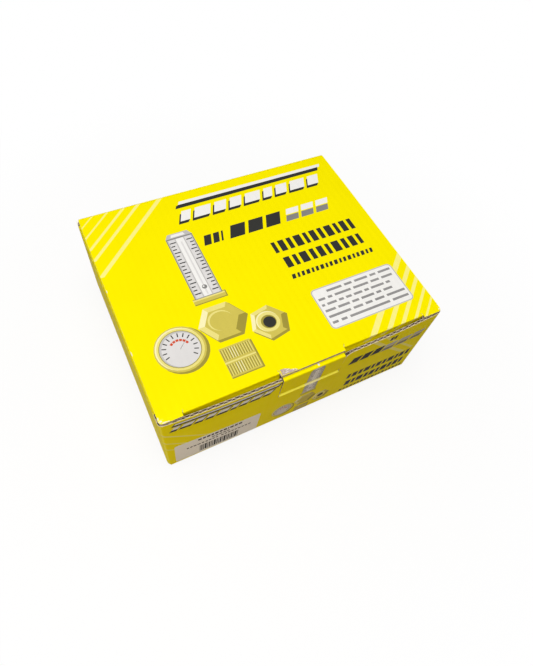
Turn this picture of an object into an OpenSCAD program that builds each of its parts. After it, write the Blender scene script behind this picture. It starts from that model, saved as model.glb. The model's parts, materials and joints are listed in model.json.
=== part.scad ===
// Tuck-top corrugated carton with a lock tab in its front wall, folded from one die-cut sheet.
// Origin: middle of the underside. +X runs along the front, +Y to the hinged back, +Z up.

/* [Carton] */
// Width of the carton across its front
carton_w = 250; // [180:1:400]
// Depth of the carton at its base, front to back
carton_d = 207; // [140:1:320]
// Height of the carton with the lid shut
carton_h = 102; // [80:1:180]
// Thickness of the corrugated board
board_t = 3; // [1.5:0.1:4.5]
// Outer radius of a scored and folded edge
fold_r = 2.4; // [1:0.1:4]
// Air between folded layers that rest on each other
fold_gap = 0.3; // [0.2:0.05:0.6]

/* [Front wall] */
// How far the top edge of the front wall leans out at its ends
wall_lean = 1.2; // [0:0.1:3]
// How far the middle of that edge bulges out beyond the lean
wall_bow = 3; // [0:0.1:8]

/* [Flaps] */
// Reach of each dust flap under the lid
dust_l = 85; // [40:1:85]
// Reach of each inner bottom flap
floor_flap_l = 75; // [40:1:80]
// Play between the bottom and dust flaps and the walls beside them
flap_play = 2; // [1:0.1:5]
// Cut-back of the dust flaps from the front plane, which leaves room for the tuck flap
dust_front_set = 10; // [9:0.5:20]
// Width of the glued joint flap inside the left wall
joint_flap_w = 30; // [15:1:45]
// Width of the open seam where the two outer bottom flaps meet
seam_w = 0.8; // [0.3:0.1:3]

/* [Lid] */
// Set-in of each side edge of the lid from the outside of the walls
lid_inset = 1; // [0.5:0.1:3]
// Length of the slit at each end of the front crease
slit_l = 18; // [10:0.5:30]
// Reach of the cut edge beyond the crease, beside each slit
shoulder_l = 1.9; // [0.5:0.1:4]
// Corner radius of the lid's front corners
lid_corner_r = 3; // [1:0.5:8]
// Length of the tuck flap, from the top of the lid to its free edge
tuck_l = 28; // [18:1:30]
// Length by which the tuck flap runs past each slit's inner end
tuck_tail = 2; // [0.5:0.5:6]
// Corner radius of the tuck flap's free corners
tuck_r = 14; // [4:1:16]
// Play between the tuck flap and the front wall
tuck_play = 0.3; // [0.2:0.05:1]

/* [Lock tab] */
// Width of the lock tab
tab_w = 56; // [30:1:90]
// Height of the lock tab, from its crease to the top of the front wall
tab_h = 28.5; // [15:0.5:40]
// How far the fold of the tab stands out from the bowed wall
tab_proud = 0.7; // [0.2:0.1:2]
// Play between the inner end of the tab and the tuck flap
tab_end_play = 0.8; // [0.4:0.1:2]
// Width of the cut around the tab
cut_w = 0.4; // [0.2:0.1:1]
// Drop of the tab's top below the top of the front wall
tab_drop = 0.3; // [0.2:0.1:1]
// Radius of the front wall's corner at the right of the tab
notch_r = 6; // [2:0.5:10]
// Reach of the lid's lip over the end of the tab
lip_l = 2.7; // [1:0.1:3.5]
// Height of the opening under the lip in the tuck flap
slot_h = 5; // [4:0.5:10]
// Length of the small relief cuts at the ends of the slot and slits
tick_l = 3; // [1.5:0.5:6]
// Width of the small relief cuts
tick_w = 0.5; // [0.3:0.1:1]

/* [Label] */
// Width of the paper label
label_w = 76; // [30:1:76]
// Height of the paper label
label_h = 40; // [20:1:40]
// Set-in of the label from the left edge of the front wall
label_side = 7; // [4:0.5:20]
// Height of the label's lower edge
label_base = 4.5; // [4:0.5:8]
// Turn of the label, positive to the left
label_turn = -1.1; // [-1.5:0.1:1.5]
// Corner radius of the label
label_r = 2; // [0.5:0.5:5]
// Thickness of the label
label_t = 0.2; // [0.1:0.05:0.4]
// Air behind the label where it bridges the bowed wall
label_gap = 0.05; // [0.02:0.01:0.1]

/* [Hidden] */
$fn = 48;

yellow = [0.95, 0.90, 0.02];
deep_yellow = [0.86, 0.80, 0.02];
paper_white = [0.88, 0.87, 0.84];

// Places that follow from the sizes
half_w = carton_w / 2;
front_reach = wall_lean + wall_bow + tab_proud;
back_y = (carton_d + front_reach) / 2;
front_y = back_y - carton_d;
wall_top = carton_h - board_t - fold_gap;
edge_r = min(fold_r, board_t - 0.5);
tab_half = tab_w / 2;
slot_half = tab_half + cut_w;
crease_z = wall_top - tab_h;
tab_top = wall_top - tab_drop;
lid_half = half_w - lid_inset;
slit_x = lid_half - slit_l;
tuck_half = slit_x + tuck_tail;

// Steps in the bowed wall's mesh
bow_steps = 18;
rise_steps = 8;
corner_steps = 5;
// How far the front wall laps into the side walls, and how far its ends slant in there
corner_lap = 1;
end_slant = 0.6;

// Outward shift of the front wall's face at width x and height z
function face_out(x, z) =
    let(rise = max(z, 0) / wall_top, side = min(abs(x) / half_w, 1))
    wall_lean * rise + wall_bow * (1 - pow(side, 3)) * sin(90 * min(rise, 1));

// Set-back of the outer face round a vertical corner
function corner_set(x) =
    let(past = max(abs(x) - (half_w - edge_r), 0))
    edge_r - sqrt(max(edge_r * edge_r - past * past, 0));

// Point on the outside of the front wall
function outer_point(x, z) = [x, front_y - face_out(x, z) + corner_set(x), z];

// Point on its inside, which runs back into the side walls at both ends
function inner_point(x, z) =
    let(past = max(abs(x) - (half_w - edge_r), 0) / edge_r, corner = abs(x) > half_w - board_t - corner_lap)
    [x - sign(x) * end_slant * past, corner ? front_y + board_t + corner_lap : front_y - face_out(x, z) + board_t, z];

// Widths at which the front wall is sampled, closer round its corners
function half_xs() = concat(
    [for (i = [0 : corner_steps]) half_w - edge_r * (1 - cos(90 * i / corner_steps))],
    [for (i = [0 : bow_steps / 2 - 1]) (half_w - board_t - 2 * corner_lap) * (1 - 2 * i / bow_steps)]);
function wall_xs() = let(xs = half_xs(), last = len(xs) - 1)
    concat([for (x = xs) -x], [0], [for (i = [last : -1 : 0]) xs[i]]);

// Crease of the lid's front edge: as near the front as the tuck flap can lie behind the wall
tuck_depth_z = carton_h - tuck_l;
crease_in = board_t - face_out(tuck_half, wall_top) + tuck_play;
lid_crease_y = front_y + crease_in;
// The free edge of the tuck flap swings forward as the lid starts to open, so it starts further in
tuck_swing = tuck_l * tuck_l / (2 * carton_d);
tuck_set = tuck_swing + tuck_play + face_out(tuck_half, wall_top) - face_out(tuck_half, tuck_depth_z);
tab_end_l = front_reach + crease_in - tab_end_play;

// Closed slab between two surfaces sampled on the same grid, given row by row
module grid_slab(front, back) {
    rows = len(front);
    cols = len(front[0]);
    count = rows * cols;
    points = concat([for (row = front) for (p = row) p], [for (row = back) for (p = row) p]);
    // Corner numbers of each triangle, clockwise as seen from outside
    faces = concat(
        [for (r = [0 : rows - 2]) for (c = [0 : cols - 2])
            for (f = [[0, cols + 1, 1], [0, cols, cols + 1]]) [for (k = f) r * cols + c + k]],
        [for (r = [0 : rows - 2]) for (c = [0 : cols - 2])
            for (f = [[0, 1, cols + 1], [0, cols + 1, cols]]) [for (k = f) count + r * cols + c + k]],
        [for (c = [0 : cols - 2]) for (f = [[c, count + c + 1, count + c], [c, c + 1, count + c + 1]]) f],
        [for (c = [0 : cols - 2]) let(a = (rows - 1) * cols + c)
            for (f = [[a, count + a + 1, a + 1], [a, count + a, count + a + 1]]) f],
        [for (r = [0 : rows - 2]) let(a = r * cols)
            for (f = [[a, count + a + cols, a + cols], [a, count + a, count + a + cols]]) f],
        [for (r = [0 : rows - 2]) let(a = r * cols + cols - 1)
            for (f = [[a, a + cols, count + a + cols], [a, count + a + cols, count + a]]) f]);
    polyhedron(points, faces, convexity = 4);
}

// Rectangle with round corners, its lower left corner at the origin
module round_rect(w, h, r) {
    translate([r, 0]) square([w - 2 * r, h]);
    translate([0, r]) square([w, h - 2 * r]);
    for (x = [r, w - r]) for (y = [r, h - r]) translate([x, y]) circle(r);
}

// What a fold of radius r leaves out of a square edge, the edge at the origin
module fold_relief(r) {
    difference() {
        translate([-1, -1]) square([r + 1, r + 1]);
        translate([r, r]) circle(r);
    }
}

// Upright outline in X and Z, extruded to the back from y
module upright(y, depth) {
    translate([0, y + depth, 0]) rotate([90, 0, 0]) linear_extrude(depth) children();
}

// Outline in Y and Z, extruded across from x
module across(x, length) {
    translate([x, 0, 0]) rotate([90, 0, 90]) linear_extrude(length) children();
}

// Front wall, bowed towards its top edge, with the opening of the lock tab cut out
module front_wall() {
    reach = wall_lean + wall_bow + board_t + 2;
    difference() {
        grid_slab(
            [for (r = [0 : rise_steps]) let(z = wall_top * r / rise_steps)
                [for (x = wall_xs()) outer_point(x, z)]],
            [for (r = [0 : rise_steps]) let(z = wall_top * r / rise_steps)
                [for (x = wall_xs()) inner_point(x, z)]]);
        upright(front_y - reach, 2 * reach) tab_opening();
    }
}

// Outline of the lock tab's opening, square at the left and eased at the right
module tab_opening() {
    top = wall_top + 1;
    translate([-slot_half, crease_z]) square([2 * slot_half, top - crease_z]);
    difference() {
        translate([slot_half - 0.1, wall_top - notch_r]) square([notch_r + 0.1, notch_r + 1]);
        translate([slot_half + notch_r, wall_top - notch_r]) circle(notch_r);
    }
}

// Left, back and right walls as one bent strip
module side_and_back_walls() {
    inner_w = carton_w - 2 * board_t;
    side_front = front_y + edge_r - end_slant / 2;
    difference() {
        translate([-half_w, side_front, board_t]) linear_extrude(wall_top - board_t)
            difference() {
                union() {
                    square([carton_w, carton_d / 2]);
                    translate([0, carton_d / 4]) round_rect(carton_w, back_y - side_front - carton_d / 4, edge_r);
                }
                translate([board_t, -1]) square([inner_w, back_y - side_front - board_t + 1]);
            }
    }
}

// Dust flaps folded in from the side walls, under the lid
module dust_flaps() {
    depth_y = back_y - board_t - flap_play - front_y - dust_front_set;
    taper = min(12, depth_y / 8);
    for (side = [-1, 1]) scale([side, 1, 1])
        translate([-half_w, front_y + dust_front_set, wall_top - board_t]) linear_extrude(board_t)
            polygon([[0, 0], [board_t + 2, 0], [dust_l, taper], [dust_l, depth_y - taper],
                [board_t + 2, depth_y], [0, depth_y]]);
}

// Two outer bottom flaps from the long walls, over two inner ones from the side walls
module bottom_flaps() {
    mid_y = (front_y + back_y) / 2;
    translate([-half_w + flap_play / 4, front_y + board_t / 2, 0])
        cube([carton_w - flap_play / 2, mid_y - seam_w / 2 - front_y - board_t / 2, board_t]);
    translate([-half_w + flap_play / 4, mid_y + seam_w / 2, 0])
        cube([carton_w - flap_play / 2, back_y - mid_y - seam_w / 2, board_t]);
    for (side = [-1, 1]) scale([side, 1, 1])
        translate([-half_w, front_y + board_t + flap_play / 2, board_t])
            cube([floor_flap_l, carton_d - 2 * board_t - flap_play, board_t]);
}

// Foot of the back wall, between the strip of walls and the outer bottom flap
module back_foot() {
    translate([-half_w + edge_r, back_y - board_t, 0]) cube([carton_w - 2 * edge_r, board_t, board_t]);
}

// Glued joint flap, inside the left wall at the back corner
module joint_flap() {
    translate([-half_w + board_t, back_y - board_t - joint_flap_w, 2 * board_t])
        cube([board_t, joint_flap_w, wall_top - 3 * board_t - fold_gap]);
}

// Rounding of the folds at the tops of the side walls and round the base
module fold_rounding() {
    long = carton_w + 2;
    deep = carton_d + 20;
    translate([0, front_y - 10, 0]) {
        translate([-half_w, 0, wall_top]) upright(0, deep) mirror([0, 1]) fold_relief(edge_r);
        translate([half_w, 0, wall_top]) upright(0, deep) rotate(180) fold_relief(edge_r);
    }
    across(-long / 2, long) translate([front_y, 0]) fold_relief(edge_r);
    across(-long / 2, long) translate([back_y, 0]) mirror([1, 0]) fold_relief(edge_r);
}

// The folded sheet without the parts that swing
module carton() {
    color(deep_yellow) difference() {
        union() {
            front_wall();
            side_and_back_walls();
            dust_flaps();
            bottom_flaps();
            back_foot();
            joint_flap();
        }
        fold_rounding();
    }
}

// Outline of the lid panel, with its lip over the tab and the cut shoulders beside the slits
module lid_outline() {
    nose_y = lid_crease_y - shoulder_l;
    slant = shoulder_l * 0.6;
    translate([-lid_half, lid_crease_y]) square([2 * lid_half, back_y - lid_crease_y]);
    translate([-tab_half, lid_crease_y - lip_l]) square([tab_w, lip_l + 1]);
    for (side = [-1, 1]) scale([side, 1])
        intersection() {
            polygon([[slit_x, nose_y], [lid_half, nose_y + slant], [lid_half, lid_crease_y + 2 * lid_corner_r],
                [slit_x, lid_crease_y + 2 * lid_corner_r]]);
            translate([0, nose_y - 1 + slant])
                round_rect(lid_half, carton_d / 3, lid_corner_r);
        }
}

// Small relief cuts at the ends of the slits and of the slot
module relief_ticks() {
    for (side = [-1, 1]) scale([side, 1]) {
        translate([slit_x, lid_crease_y]) rotate(60) translate([-tick_l / 2, -tick_w / 2])
            square([1.5 * tick_l, tick_w]);
        translate([slot_half, lid_crease_y]) rotate(60) translate([-tick_l / 2, -tick_w / 2])
            square([1.5 * tick_l, tick_w]);
    }
}

// Side view of the tuck flap, leaning in from the crease to its free edge
module tuck_profile() {
    top_z = carton_h - edge_r;
    low_z = carton_h - tuck_l;
    y = lid_crease_y;
    polygon([[y, top_z], [y + board_t, top_z], [y + board_t, carton_h - board_t],
        [y + tuck_set + board_t, low_z], [y + tuck_set, low_z]]);
}

// Front view of the tuck flap, with the opening under the lip
module tuck_outline() {
    difference() {
        translate([-tuck_half, carton_h - tuck_l])
            round_rect(2 * tuck_half, tuck_l + tuck_r, tuck_r);
        translate([-slot_half, carton_h - board_t - slot_h]) square([2 * slot_half, slot_h]);
        for (side = [-1, 1]) scale([side, 1])
            translate([slit_x, carton_h - board_t - fold_gap]) square([tuck_tail + 1, board_t + 2]);
    }
}

// Hinged lid: panel and tuck flap folded from one piece
module lid() {
    color(yellow) difference() {
        union() {
            translate([0, 0, carton_h - board_t]) linear_extrude(board_t) difference() {
                lid_outline();
                relief_ticks();
            }
            intersection() {
                across(-tuck_half, 2 * tuck_half) tuck_profile();
                upright(lid_crease_y - 1, tuck_set + board_t + 3) tuck_outline();
            }
        }
        for (side = [-1, 1]) scale([side, 1, 1])
            across(slot_half, slit_x - slot_half) translate([lid_crease_y, carton_h])
                mirror([0, 1]) fold_relief(edge_r / 2);
    }
}

// Side view of the lock tab: a leaning plate with its end folded in over the wall
module tab_profile() {
    crease_y = front_y - face_out(0, crease_z);
    fold_y = front_y - front_reach;
    r = edge_r / 2;
    foot_z = crease_z + cut_w / 2;
    difference() {
        polygon([[crease_y, foot_z], [fold_y, tab_top], [fold_y + tab_end_l, tab_top],
            [fold_y + tab_end_l, tab_top - board_t], [fold_y + board_t, tab_top - board_t],
            [crease_y + board_t, foot_z]]);
        translate([fold_y, tab_top]) mirror([0, 1]) fold_relief(r);
    }
}

// Lock tab, hinged on its crease in the front wall
module lock_tab() {
    color(yellow) across(-tab_half, tab_w) tab_profile();
}

// Point on the label at u across and v up, offset outward from the wall's face
function label_point(u, v, off) =
    let(x = -half_w + label_side + u * cos(label_turn) - v * sin(label_turn),
        z = label_base + u * sin(label_turn) + v * cos(label_turn) + max(-label_w * sin(label_turn), 0))
    [x, front_y - face_out(x, z) - off, z];

// Set-in of the label's lower and upper edges at u, which rounds its corners
function label_ease(u) =
    let(past = max(label_r - u, u - (label_w - label_r), 0))
    label_r - sqrt(max(label_r * label_r - past * past, 0));

// Paper label stuck low on the front wall, following its bow
module barcode_label() {
    cols = 16;
    rows = 8;
    us = concat([for (i = [0 : 3]) label_r * (1 - cos(90 * i / 4))],
        [for (i = [0 : cols]) label_r + (label_w - 2 * label_r) * i / cols],
        [for (i = [3 : -1 : 0]) label_w - label_r * (1 - cos(90 * i / 4))]);
    function grid(off) = [for (r = [0 : rows])
        [for (u = us) label_point(u, label_ease(u) + (label_h - 2 * label_ease(u)) * r / rows, off)]];
    color(paper_white) grid_slab(grid(label_gap + label_t), grid(label_gap));
}

carton();
lid();
lock_tab();
barcode_label();
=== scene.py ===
"""Looks of the tuck-top corrugated carton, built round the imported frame.

The board is made as its real layers: a printed outer liner, a fluted medium and an inner liner. Each
layer is a flat sheet cut to its outline, coloured by the shapes printed on it, and then bent into place.
All lengths are in millimetres until a mesh is made.
"""

import json
import logging
import math
from collections.abc import Callable, Iterable, Sequence
from dataclasses import dataclass, field, replace
from enum import Enum
from typing import NamedTuple

import bpy
from mathutils import Matrix, Vector, noise
from mathutils.geometry import delaunay_2d_cdt

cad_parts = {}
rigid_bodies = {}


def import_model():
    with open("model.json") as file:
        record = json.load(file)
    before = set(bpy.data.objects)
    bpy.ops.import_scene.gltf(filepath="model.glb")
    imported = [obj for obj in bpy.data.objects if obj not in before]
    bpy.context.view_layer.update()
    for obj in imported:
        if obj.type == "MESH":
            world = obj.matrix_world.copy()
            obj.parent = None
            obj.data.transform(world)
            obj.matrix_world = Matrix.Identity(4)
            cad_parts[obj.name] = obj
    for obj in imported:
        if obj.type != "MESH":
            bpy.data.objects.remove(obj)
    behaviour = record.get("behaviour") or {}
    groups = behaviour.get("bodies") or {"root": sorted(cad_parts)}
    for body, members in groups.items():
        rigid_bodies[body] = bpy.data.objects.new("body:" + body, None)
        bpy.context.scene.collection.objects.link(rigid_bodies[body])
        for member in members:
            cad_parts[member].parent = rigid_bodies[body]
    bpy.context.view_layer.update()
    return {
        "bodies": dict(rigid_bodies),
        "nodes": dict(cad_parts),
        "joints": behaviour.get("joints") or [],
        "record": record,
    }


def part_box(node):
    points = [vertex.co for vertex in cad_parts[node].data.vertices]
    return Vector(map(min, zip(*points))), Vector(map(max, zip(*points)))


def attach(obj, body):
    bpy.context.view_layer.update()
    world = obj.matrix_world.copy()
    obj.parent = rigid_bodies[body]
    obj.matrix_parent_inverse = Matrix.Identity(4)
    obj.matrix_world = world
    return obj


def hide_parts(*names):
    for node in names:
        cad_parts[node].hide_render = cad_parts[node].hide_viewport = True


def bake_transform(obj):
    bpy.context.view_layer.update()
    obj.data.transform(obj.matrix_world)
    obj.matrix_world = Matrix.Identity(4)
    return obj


logging.basicConfig(level=logging.INFO, format="%(message)s")
log = logging.getLogger("carton")

MM = 0.001

# The fluted medium: its wave, and how far it stops short of a cut side and of a cut end.
FLUTE_PITCH = 6.4
FLUTE_STEPS = 8
FLUTE_SIDE = 0.3
FLUTE_END = 0.25
MEDIUM_HALF = 0.30

# Folds sharper than the first are shaded as edges, and arcs are bent in steps of the second.
SHARP_DEG = 38
ARC_STEP_DEG = 14

# What every finish shares: its noises, where its worn colour shows for wear and for painted highlights, its
# change of gloss and its relief.
CLOUD_SCALE = 38.0
SPECK_SCALE = 900.0
COAT_ROUGHNESS = 0.32
WEAR_AND_HIGHLIGHT_RANGE = (0.95, 1.35)
GLOSS_SPREAD = (0.07, 0.09)
RIDGE_HEIGHT_M = 0.0002
FIBRE_HEIGHT_M = 0.0003

Point = tuple[float, float]
Point3 = tuple[float, float, float]
Colour = tuple[float, float, float]
Place = Callable[[float, float, float], Vector]
# A Wear gives the share of the worn colour at a spot: real wear, and on some pieces painted highlights.
Wear = Callable[[float, float], float]


def unit(value: float) -> float:
    """The value, kept between 0 and 1."""
    return min(1.0, max(0.0, value))


def smooth(share: float) -> float:
    """A share from 0 to 1, eased at both ends."""
    return share * share * (3 - 2 * share)


def patches(x: float, y: float, seed: float) -> float:
    """Soft patches over a plane, from 0 to 1."""
    return 0.5 + 0.5 * noise.noise(Vector((x, y, seed)))


def unworn(u: float, v: float) -> float:
    """No wear at any spot."""
    return 0.0


class Ink(Enum):
    """What a patch of the board shows: a print colour, bare board or paper."""

    YELLOW = "yellow"
    PALE = "pale_yellow"
    WHITE = "white"
    DARK = "dark_grey"
    GREY = "grey"
    MID = "mid_grey"
    TEXT = "fine_print"
    BRASS = "brass"
    BRASS_LIGHT = "brass_light"
    BRASS_DARK = "brass_dark"
    BRASS_PALE = "brass_pale"
    SILVER = "silver_grey"
    RED = "red"
    KRAFT = "kraft"
    MEDIUM = "fluting"
    LINER_EDGE = "liner_edge"
    TORN = "torn_ply"
    FIBRE = "fibre"
    LABEL = "label_paper"
    LABEL_INK = "label_ink"
    LABEL_EDGE = "label_edge"


class Slot(Enum):
    """Material slots of the record."""

    BOARD = "printed_board"
    LABEL = "label_paper"


@dataclass(frozen=True)
class Finish:
    """One procedural finish: a colour with its mottling, gloss and surface grain, and a worn colour that
    shows for wear and for painted highlights.
    """

    colour: Colour
    roughness: float = 0.48
    mottle: float = 0.05
    washboard: float = 0.22
    grain: float = 0.10
    coat: float = 0.0
    # Worn colour: shown for real wear, and also for the painted highlights along the tab's crease and the
    # walls' upright corners.
    worn: Colour = (0.90, 0.84, 0.42)
    specular: float = 0.012

    def material(self, name: str) -> bpy.types.Material:
        """Builds the node material.

        Args:
            name: Name of the new material.

        Returns:
            The material.
        """
        mat = bpy.data.materials.new(name)
        mat.use_nodes = True
        tree = mat.node_tree
        shader = tree.nodes["Principled BSDF"]
        shader.inputs["Coat Weight"].default_value = self.coat
        shader.inputs["Coat Roughness"].default_value = COAT_ROUGHNESS
        shader.inputs["Specular IOR Level"].default_value = self.specular
        cloud = self.cloud(tree, CLOUD_SCALE, 4.0)
        speck = self.cloud(tree, SPECK_SCALE, 3.0)
        rough = tree.nodes.new("ShaderNodeMapRange")
        rough.inputs["To Min"].default_value = self.roughness - GLOSS_SPREAD[0]
        rough.inputs["To Max"].default_value = self.roughness + GLOSS_SPREAD[1]
        tree.links.new(speck, rough.inputs["Value"])
        tree.links.new(self.worn_and_highlit(tree, cloud, speck), shader.inputs["Base Color"])
        tree.links.new(rough.outputs["Result"], shader.inputs["Roughness"])
        tree.links.new(self.relief(tree, speck), shader.inputs["Normal"])
        return mat

    @staticmethod
    def cloud(tree: bpy.types.NodeTree, scale: float, detail: float) -> bpy.types.NodeSocket:
        """Adds a noise over the piece's own coordinates.

        Args:
            tree: Where the nodes go.
            scale: Scale of the noise.
            detail: Its finer octaves.

        Returns:
            The socket that gives it.
        """
        place = tree.nodes.new("ShaderNodeTexCoord")
        cloud = tree.nodes.new("ShaderNodeTexNoise")
        cloud.inputs["Scale"].default_value = scale
        cloud.inputs["Detail"].default_value = detail
        tree.links.new(place.outputs["Object"], cloud.inputs["Vector"])
        return cloud.outputs["Fac"]

    def worn_and_highlit(
        self, tree: bpy.types.NodeTree, cloud: bpy.types.NodeSocket, speck: bpy.types.NodeSocket
    ) -> bpy.types.NodeSocket:
        """Adds the mottled colour, turned to the worn one where the mesh's wear attribute says so: real wear,
        and painted highlights on some pieces.

        Args:
            tree: Where the nodes go.
            cloud: The broad noise.
            speck: The fine noise.

        Returns:
            The socket that gives the colour.
        """
        nodes, links = tree.nodes, tree.links
        tint = nodes.new("ShaderNodeMix")
        tint.data_type = "RGBA"
        tint.inputs[6].default_value = (*[c * (1 - self.mottle) for c in self.colour], 1)
        tint.inputs[7].default_value = (*[min(1, c * (1 + self.mottle)) for c in self.colour], 1)
        links.new(cloud, tint.inputs[0])
        # The wear attribute carries real wear and painted highlights alike.
        wear = nodes.new("ShaderNodeAttribute")
        wear.attribute_name = "wear"
        wear_and_highlight = nodes.new("ShaderNodeMath")
        wear_and_highlight.operation = "ADD"
        links.new(wear.outputs["Fac"], wear_and_highlight.inputs[0])
        links.new(speck, wear_and_highlight.inputs[1])
        bared = nodes.new("ShaderNodeMapRange")
        bared.inputs["From Min"].default_value = WEAR_AND_HIGHLIGHT_RANGE[0]
        bared.inputs["From Max"].default_value = WEAR_AND_HIGHLIGHT_RANGE[1]
        links.new(wear_and_highlight.outputs[0], bared.inputs["Value"])
        shown = nodes.new("ShaderNodeMix")
        shown.data_type = "RGBA"
        shown.inputs[7].default_value = (*self.worn, 1)
        links.new(bared.outputs["Result"], shown.inputs[0])
        links.new(tint.outputs[2], shown.inputs[6])
        return shown.outputs[2]

    def relief(self, tree: bpy.types.NodeTree, speck: bpy.types.NodeSocket) -> bpy.types.NodeSocket:
        """Adds the faint ridges of the flutes under the liner, and the paper's fibres.

        Args:
            tree: Where the nodes go.
            speck: The fine noise.

        Returns:
            The socket that gives the normal.
        """
        nodes, links = tree.nodes, tree.links
        flat = nodes.new("ShaderNodeAttribute")
        flat.attribute_name = "sheet"
        axes = nodes.new("ShaderNodeSeparateXYZ")
        links.new(flat.outputs["Vector"], axes.inputs[0])
        turn = nodes.new("ShaderNodeMath")
        turn.operation = "MULTIPLY"
        turn.inputs[1].default_value = 2 * math.pi / FLUTE_PITCH
        links.new(axes.outputs["X"], turn.inputs[0])
        ridge = nodes.new("ShaderNodeMath")
        ridge.operation = "SINE"
        links.new(turn.outputs[0], ridge.inputs[0])
        ridges = nodes.new("ShaderNodeBump")
        ridges.inputs["Strength"].default_value = self.washboard
        ridges.inputs["Distance"].default_value = RIDGE_HEIGHT_M
        links.new(ridge.outputs[0], ridges.inputs["Height"])
        fibres = nodes.new("ShaderNodeBump")
        fibres.inputs["Strength"].default_value = self.grain
        fibres.inputs["Distance"].default_value = FIBRE_HEIGHT_M
        links.new(speck, fibres.inputs["Height"])
        links.new(ridges.outputs["Normal"], fibres.inputs["Normal"])
        return fibres.outputs["Normal"]


FINISHES: dict[Ink, Finish] = {
    # Yellow's worn colour is bright yellow: it shows real wear, and also paints the highlights along the
    # tab's crease and the walls' upright corners.
    Ink.YELLOW: Finish((0.94, 0.84, 0.0), mottle=0.03, worn=(1.0, 0.95, 0.10)),
    Ink.PALE: Finish((0.93, 0.88, 0.26), mottle=0.03),
    Ink.WHITE: Finish((0.86, 0.87, 0.88), mottle=0.02),
    Ink.DARK: Finish((0.035, 0.036, 0.034), mottle=0.20, worn=(0.45, 0.42, 0.30)),
    Ink.GREY: Finish((0.52, 0.52, 0.53), mottle=0.06),
    Ink.MID: Finish((0.24, 0.24, 0.24), mottle=0.08),
    Ink.TEXT: Finish((0.30, 0.30, 0.31), mottle=0.22),
    Ink.BRASS: Finish((0.60, 0.52, 0.10), mottle=0.06),
    Ink.BRASS_LIGHT: Finish((0.80, 0.73, 0.24), mottle=0.06),
    Ink.BRASS_DARK: Finish((0.34, 0.29, 0.05), mottle=0.08),
    Ink.BRASS_PALE: Finish((0.90, 0.86, 0.50), mottle=0.04),
    Ink.SILVER: Finish((0.70, 0.70, 0.72), mottle=0.05),
    Ink.RED: Finish((0.60, 0.08, 0.03), mottle=0.08),
    Ink.KRAFT: Finish((0.50, 0.41, 0.32), 0.78, 0.12, 0.30, 0.30, 0.0, (0.52, 0.43, 0.34)),
    Ink.MEDIUM: Finish((0.55, 0.46, 0.37), 0.86, 0.16, 0.0, 0.40, 0.0, (0.50, 0.42, 0.36)),
    Ink.LINER_EDGE: Finish((0.84, 0.75, 0.56), 0.82, 0.10, 0.0, 0.30, 0.0),
    Ink.TORN: Finish((0.50, 0.39, 0.34), 0.90, 0.16, 0.0, 0.60, 0.0),
    Ink.FIBRE: Finish((0.82, 0.79, 0.74), 0.88, 0.05, 0.0, 0.30, 0.0),
    Ink.LABEL: Finish((0.92, 0.92, 0.92), 0.55, 0.03, 0.0, 0.06, 0.05, (0.86, 0.86, 0.84)),
    Ink.LABEL_INK: Finish((0.030, 0.030, 0.032), 0.50, 0.18, 0.0, 0.06, 0.05, (0.40, 0.40, 0.40)),
    Ink.LABEL_EDGE: Finish((0.62, 0.61, 0.58), 0.80, 0.06, 0.0, 0.20, 0.0),
}


class Inks:
    """Hands out each finish's material, made once."""

    def __init__(self) -> None:
        """Starts with no material made."""
        self._made: dict[Ink, bpy.types.Material] = {}

    def of(self, ink: Ink) -> bpy.types.Material:
        """Returns the material of one ink, made on first use.

        Args:
            ink: The finish that is wanted.

        Returns:
            Its material.
        """
        if ink not in self._made:
            self._made[ink] = FINISHES[ink].material(ink.value)
        return self._made[ink]


@dataclass(frozen=True)
class Sizes:
    """The carton's measures. Those that the frame gives are read from it."""

    half_w: float
    back_y: float
    top: float
    crease_z: float
    tab_crease_y: float
    front_y: float = -101.05
    wall_top: float = 98.7
    board: float = 3.0
    liner: float = 0.4
    inner_liner: float = 0.3
    corner_r: float = 3.2
    wall_lean: float = 1.2
    wall_bow: float = 3.0
    hinge_low: float = 96.0
    hinge_run: float = 4.0
    flap_gap: float = 0.1
    lid_half: float = 124.0
    lid_back_half: float = 123.6
    hinge_low_half: float = 121.7
    lid_crease_y: float = -100.015
    tuck_fold_r: float = 0.9
    tuck_l: float = 28.0
    tuck_half: float = 108.0
    tuck_set: float = 2.575
    tuck_r: float = 14.0
    slit_x: float = 106.0
    shoulder: float = 1.9
    lip: float = 2.7
    slot_half: float = 28.4
    slot_h: float = 5.0
    tab_half: float = 28.0
    tab_low: float = 67.2
    tab_high: float = 73.2
    tab_top: float = 98.4
    tab_face_y: float = -105.95
    tab_end_y: float = -100.8
    tab_fold_r: float = 1.2
    notch_r: float = 6.0
    notch_h: float = 11.0
    crush: float = 0.8
    crush_h: float = 3.0
    bow_fade: float = 25.0

    @classmethod
    def measured(cls, frame: dict) -> "Sizes":
        """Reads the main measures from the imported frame.


        Returns:
            The carton's sizes.
        """
        joints = {joint["name"]: joint["pos_m"] for joint in frame["joints"]}
        hinge, crease = joints["lid_hinge"], joints["tab_crease"]
        _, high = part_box("carton")
        return cls(
            half_w=round(high.x / MM, 3),
            back_y=hinge[1] / MM,
            top=hinge[2] / MM,
            crease_z=crease[2] / MM,
            tab_crease_y=crease[1] / MM,
        )

    def face_out(self, x: float, z: float) -> float:
        """How far the front wall's face stands ahead of its base line.

        Args:
            x: Place along the front.
            z: Height.

        Returns:
            The distance, in millimetres.
        """
        rise = max(0.0, z / self.wall_top)
        across = 1 - min(1.0, abs(x / self.half_w)) ** 3
        swell = math.sin(math.pi / 2 * min(rise, 1.0))
        return self.wall_lean * rise + self.wall_bow * across * swell


@dataclass(frozen=True)
class Span:
    """One part of a bent path: a straight, or an arc where it has a radius. Its angles are in radians."""

    start: float
    end: float
    origin: Vector
    way: float
    radius: float
    angle: float

    def mitre(self, depth: float) -> float:
        """Length that an arc takes from the straight beside it, at a depth past the arc's centre."""
        return (depth - self.radius) * math.tan(self.angle / 2)


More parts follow.
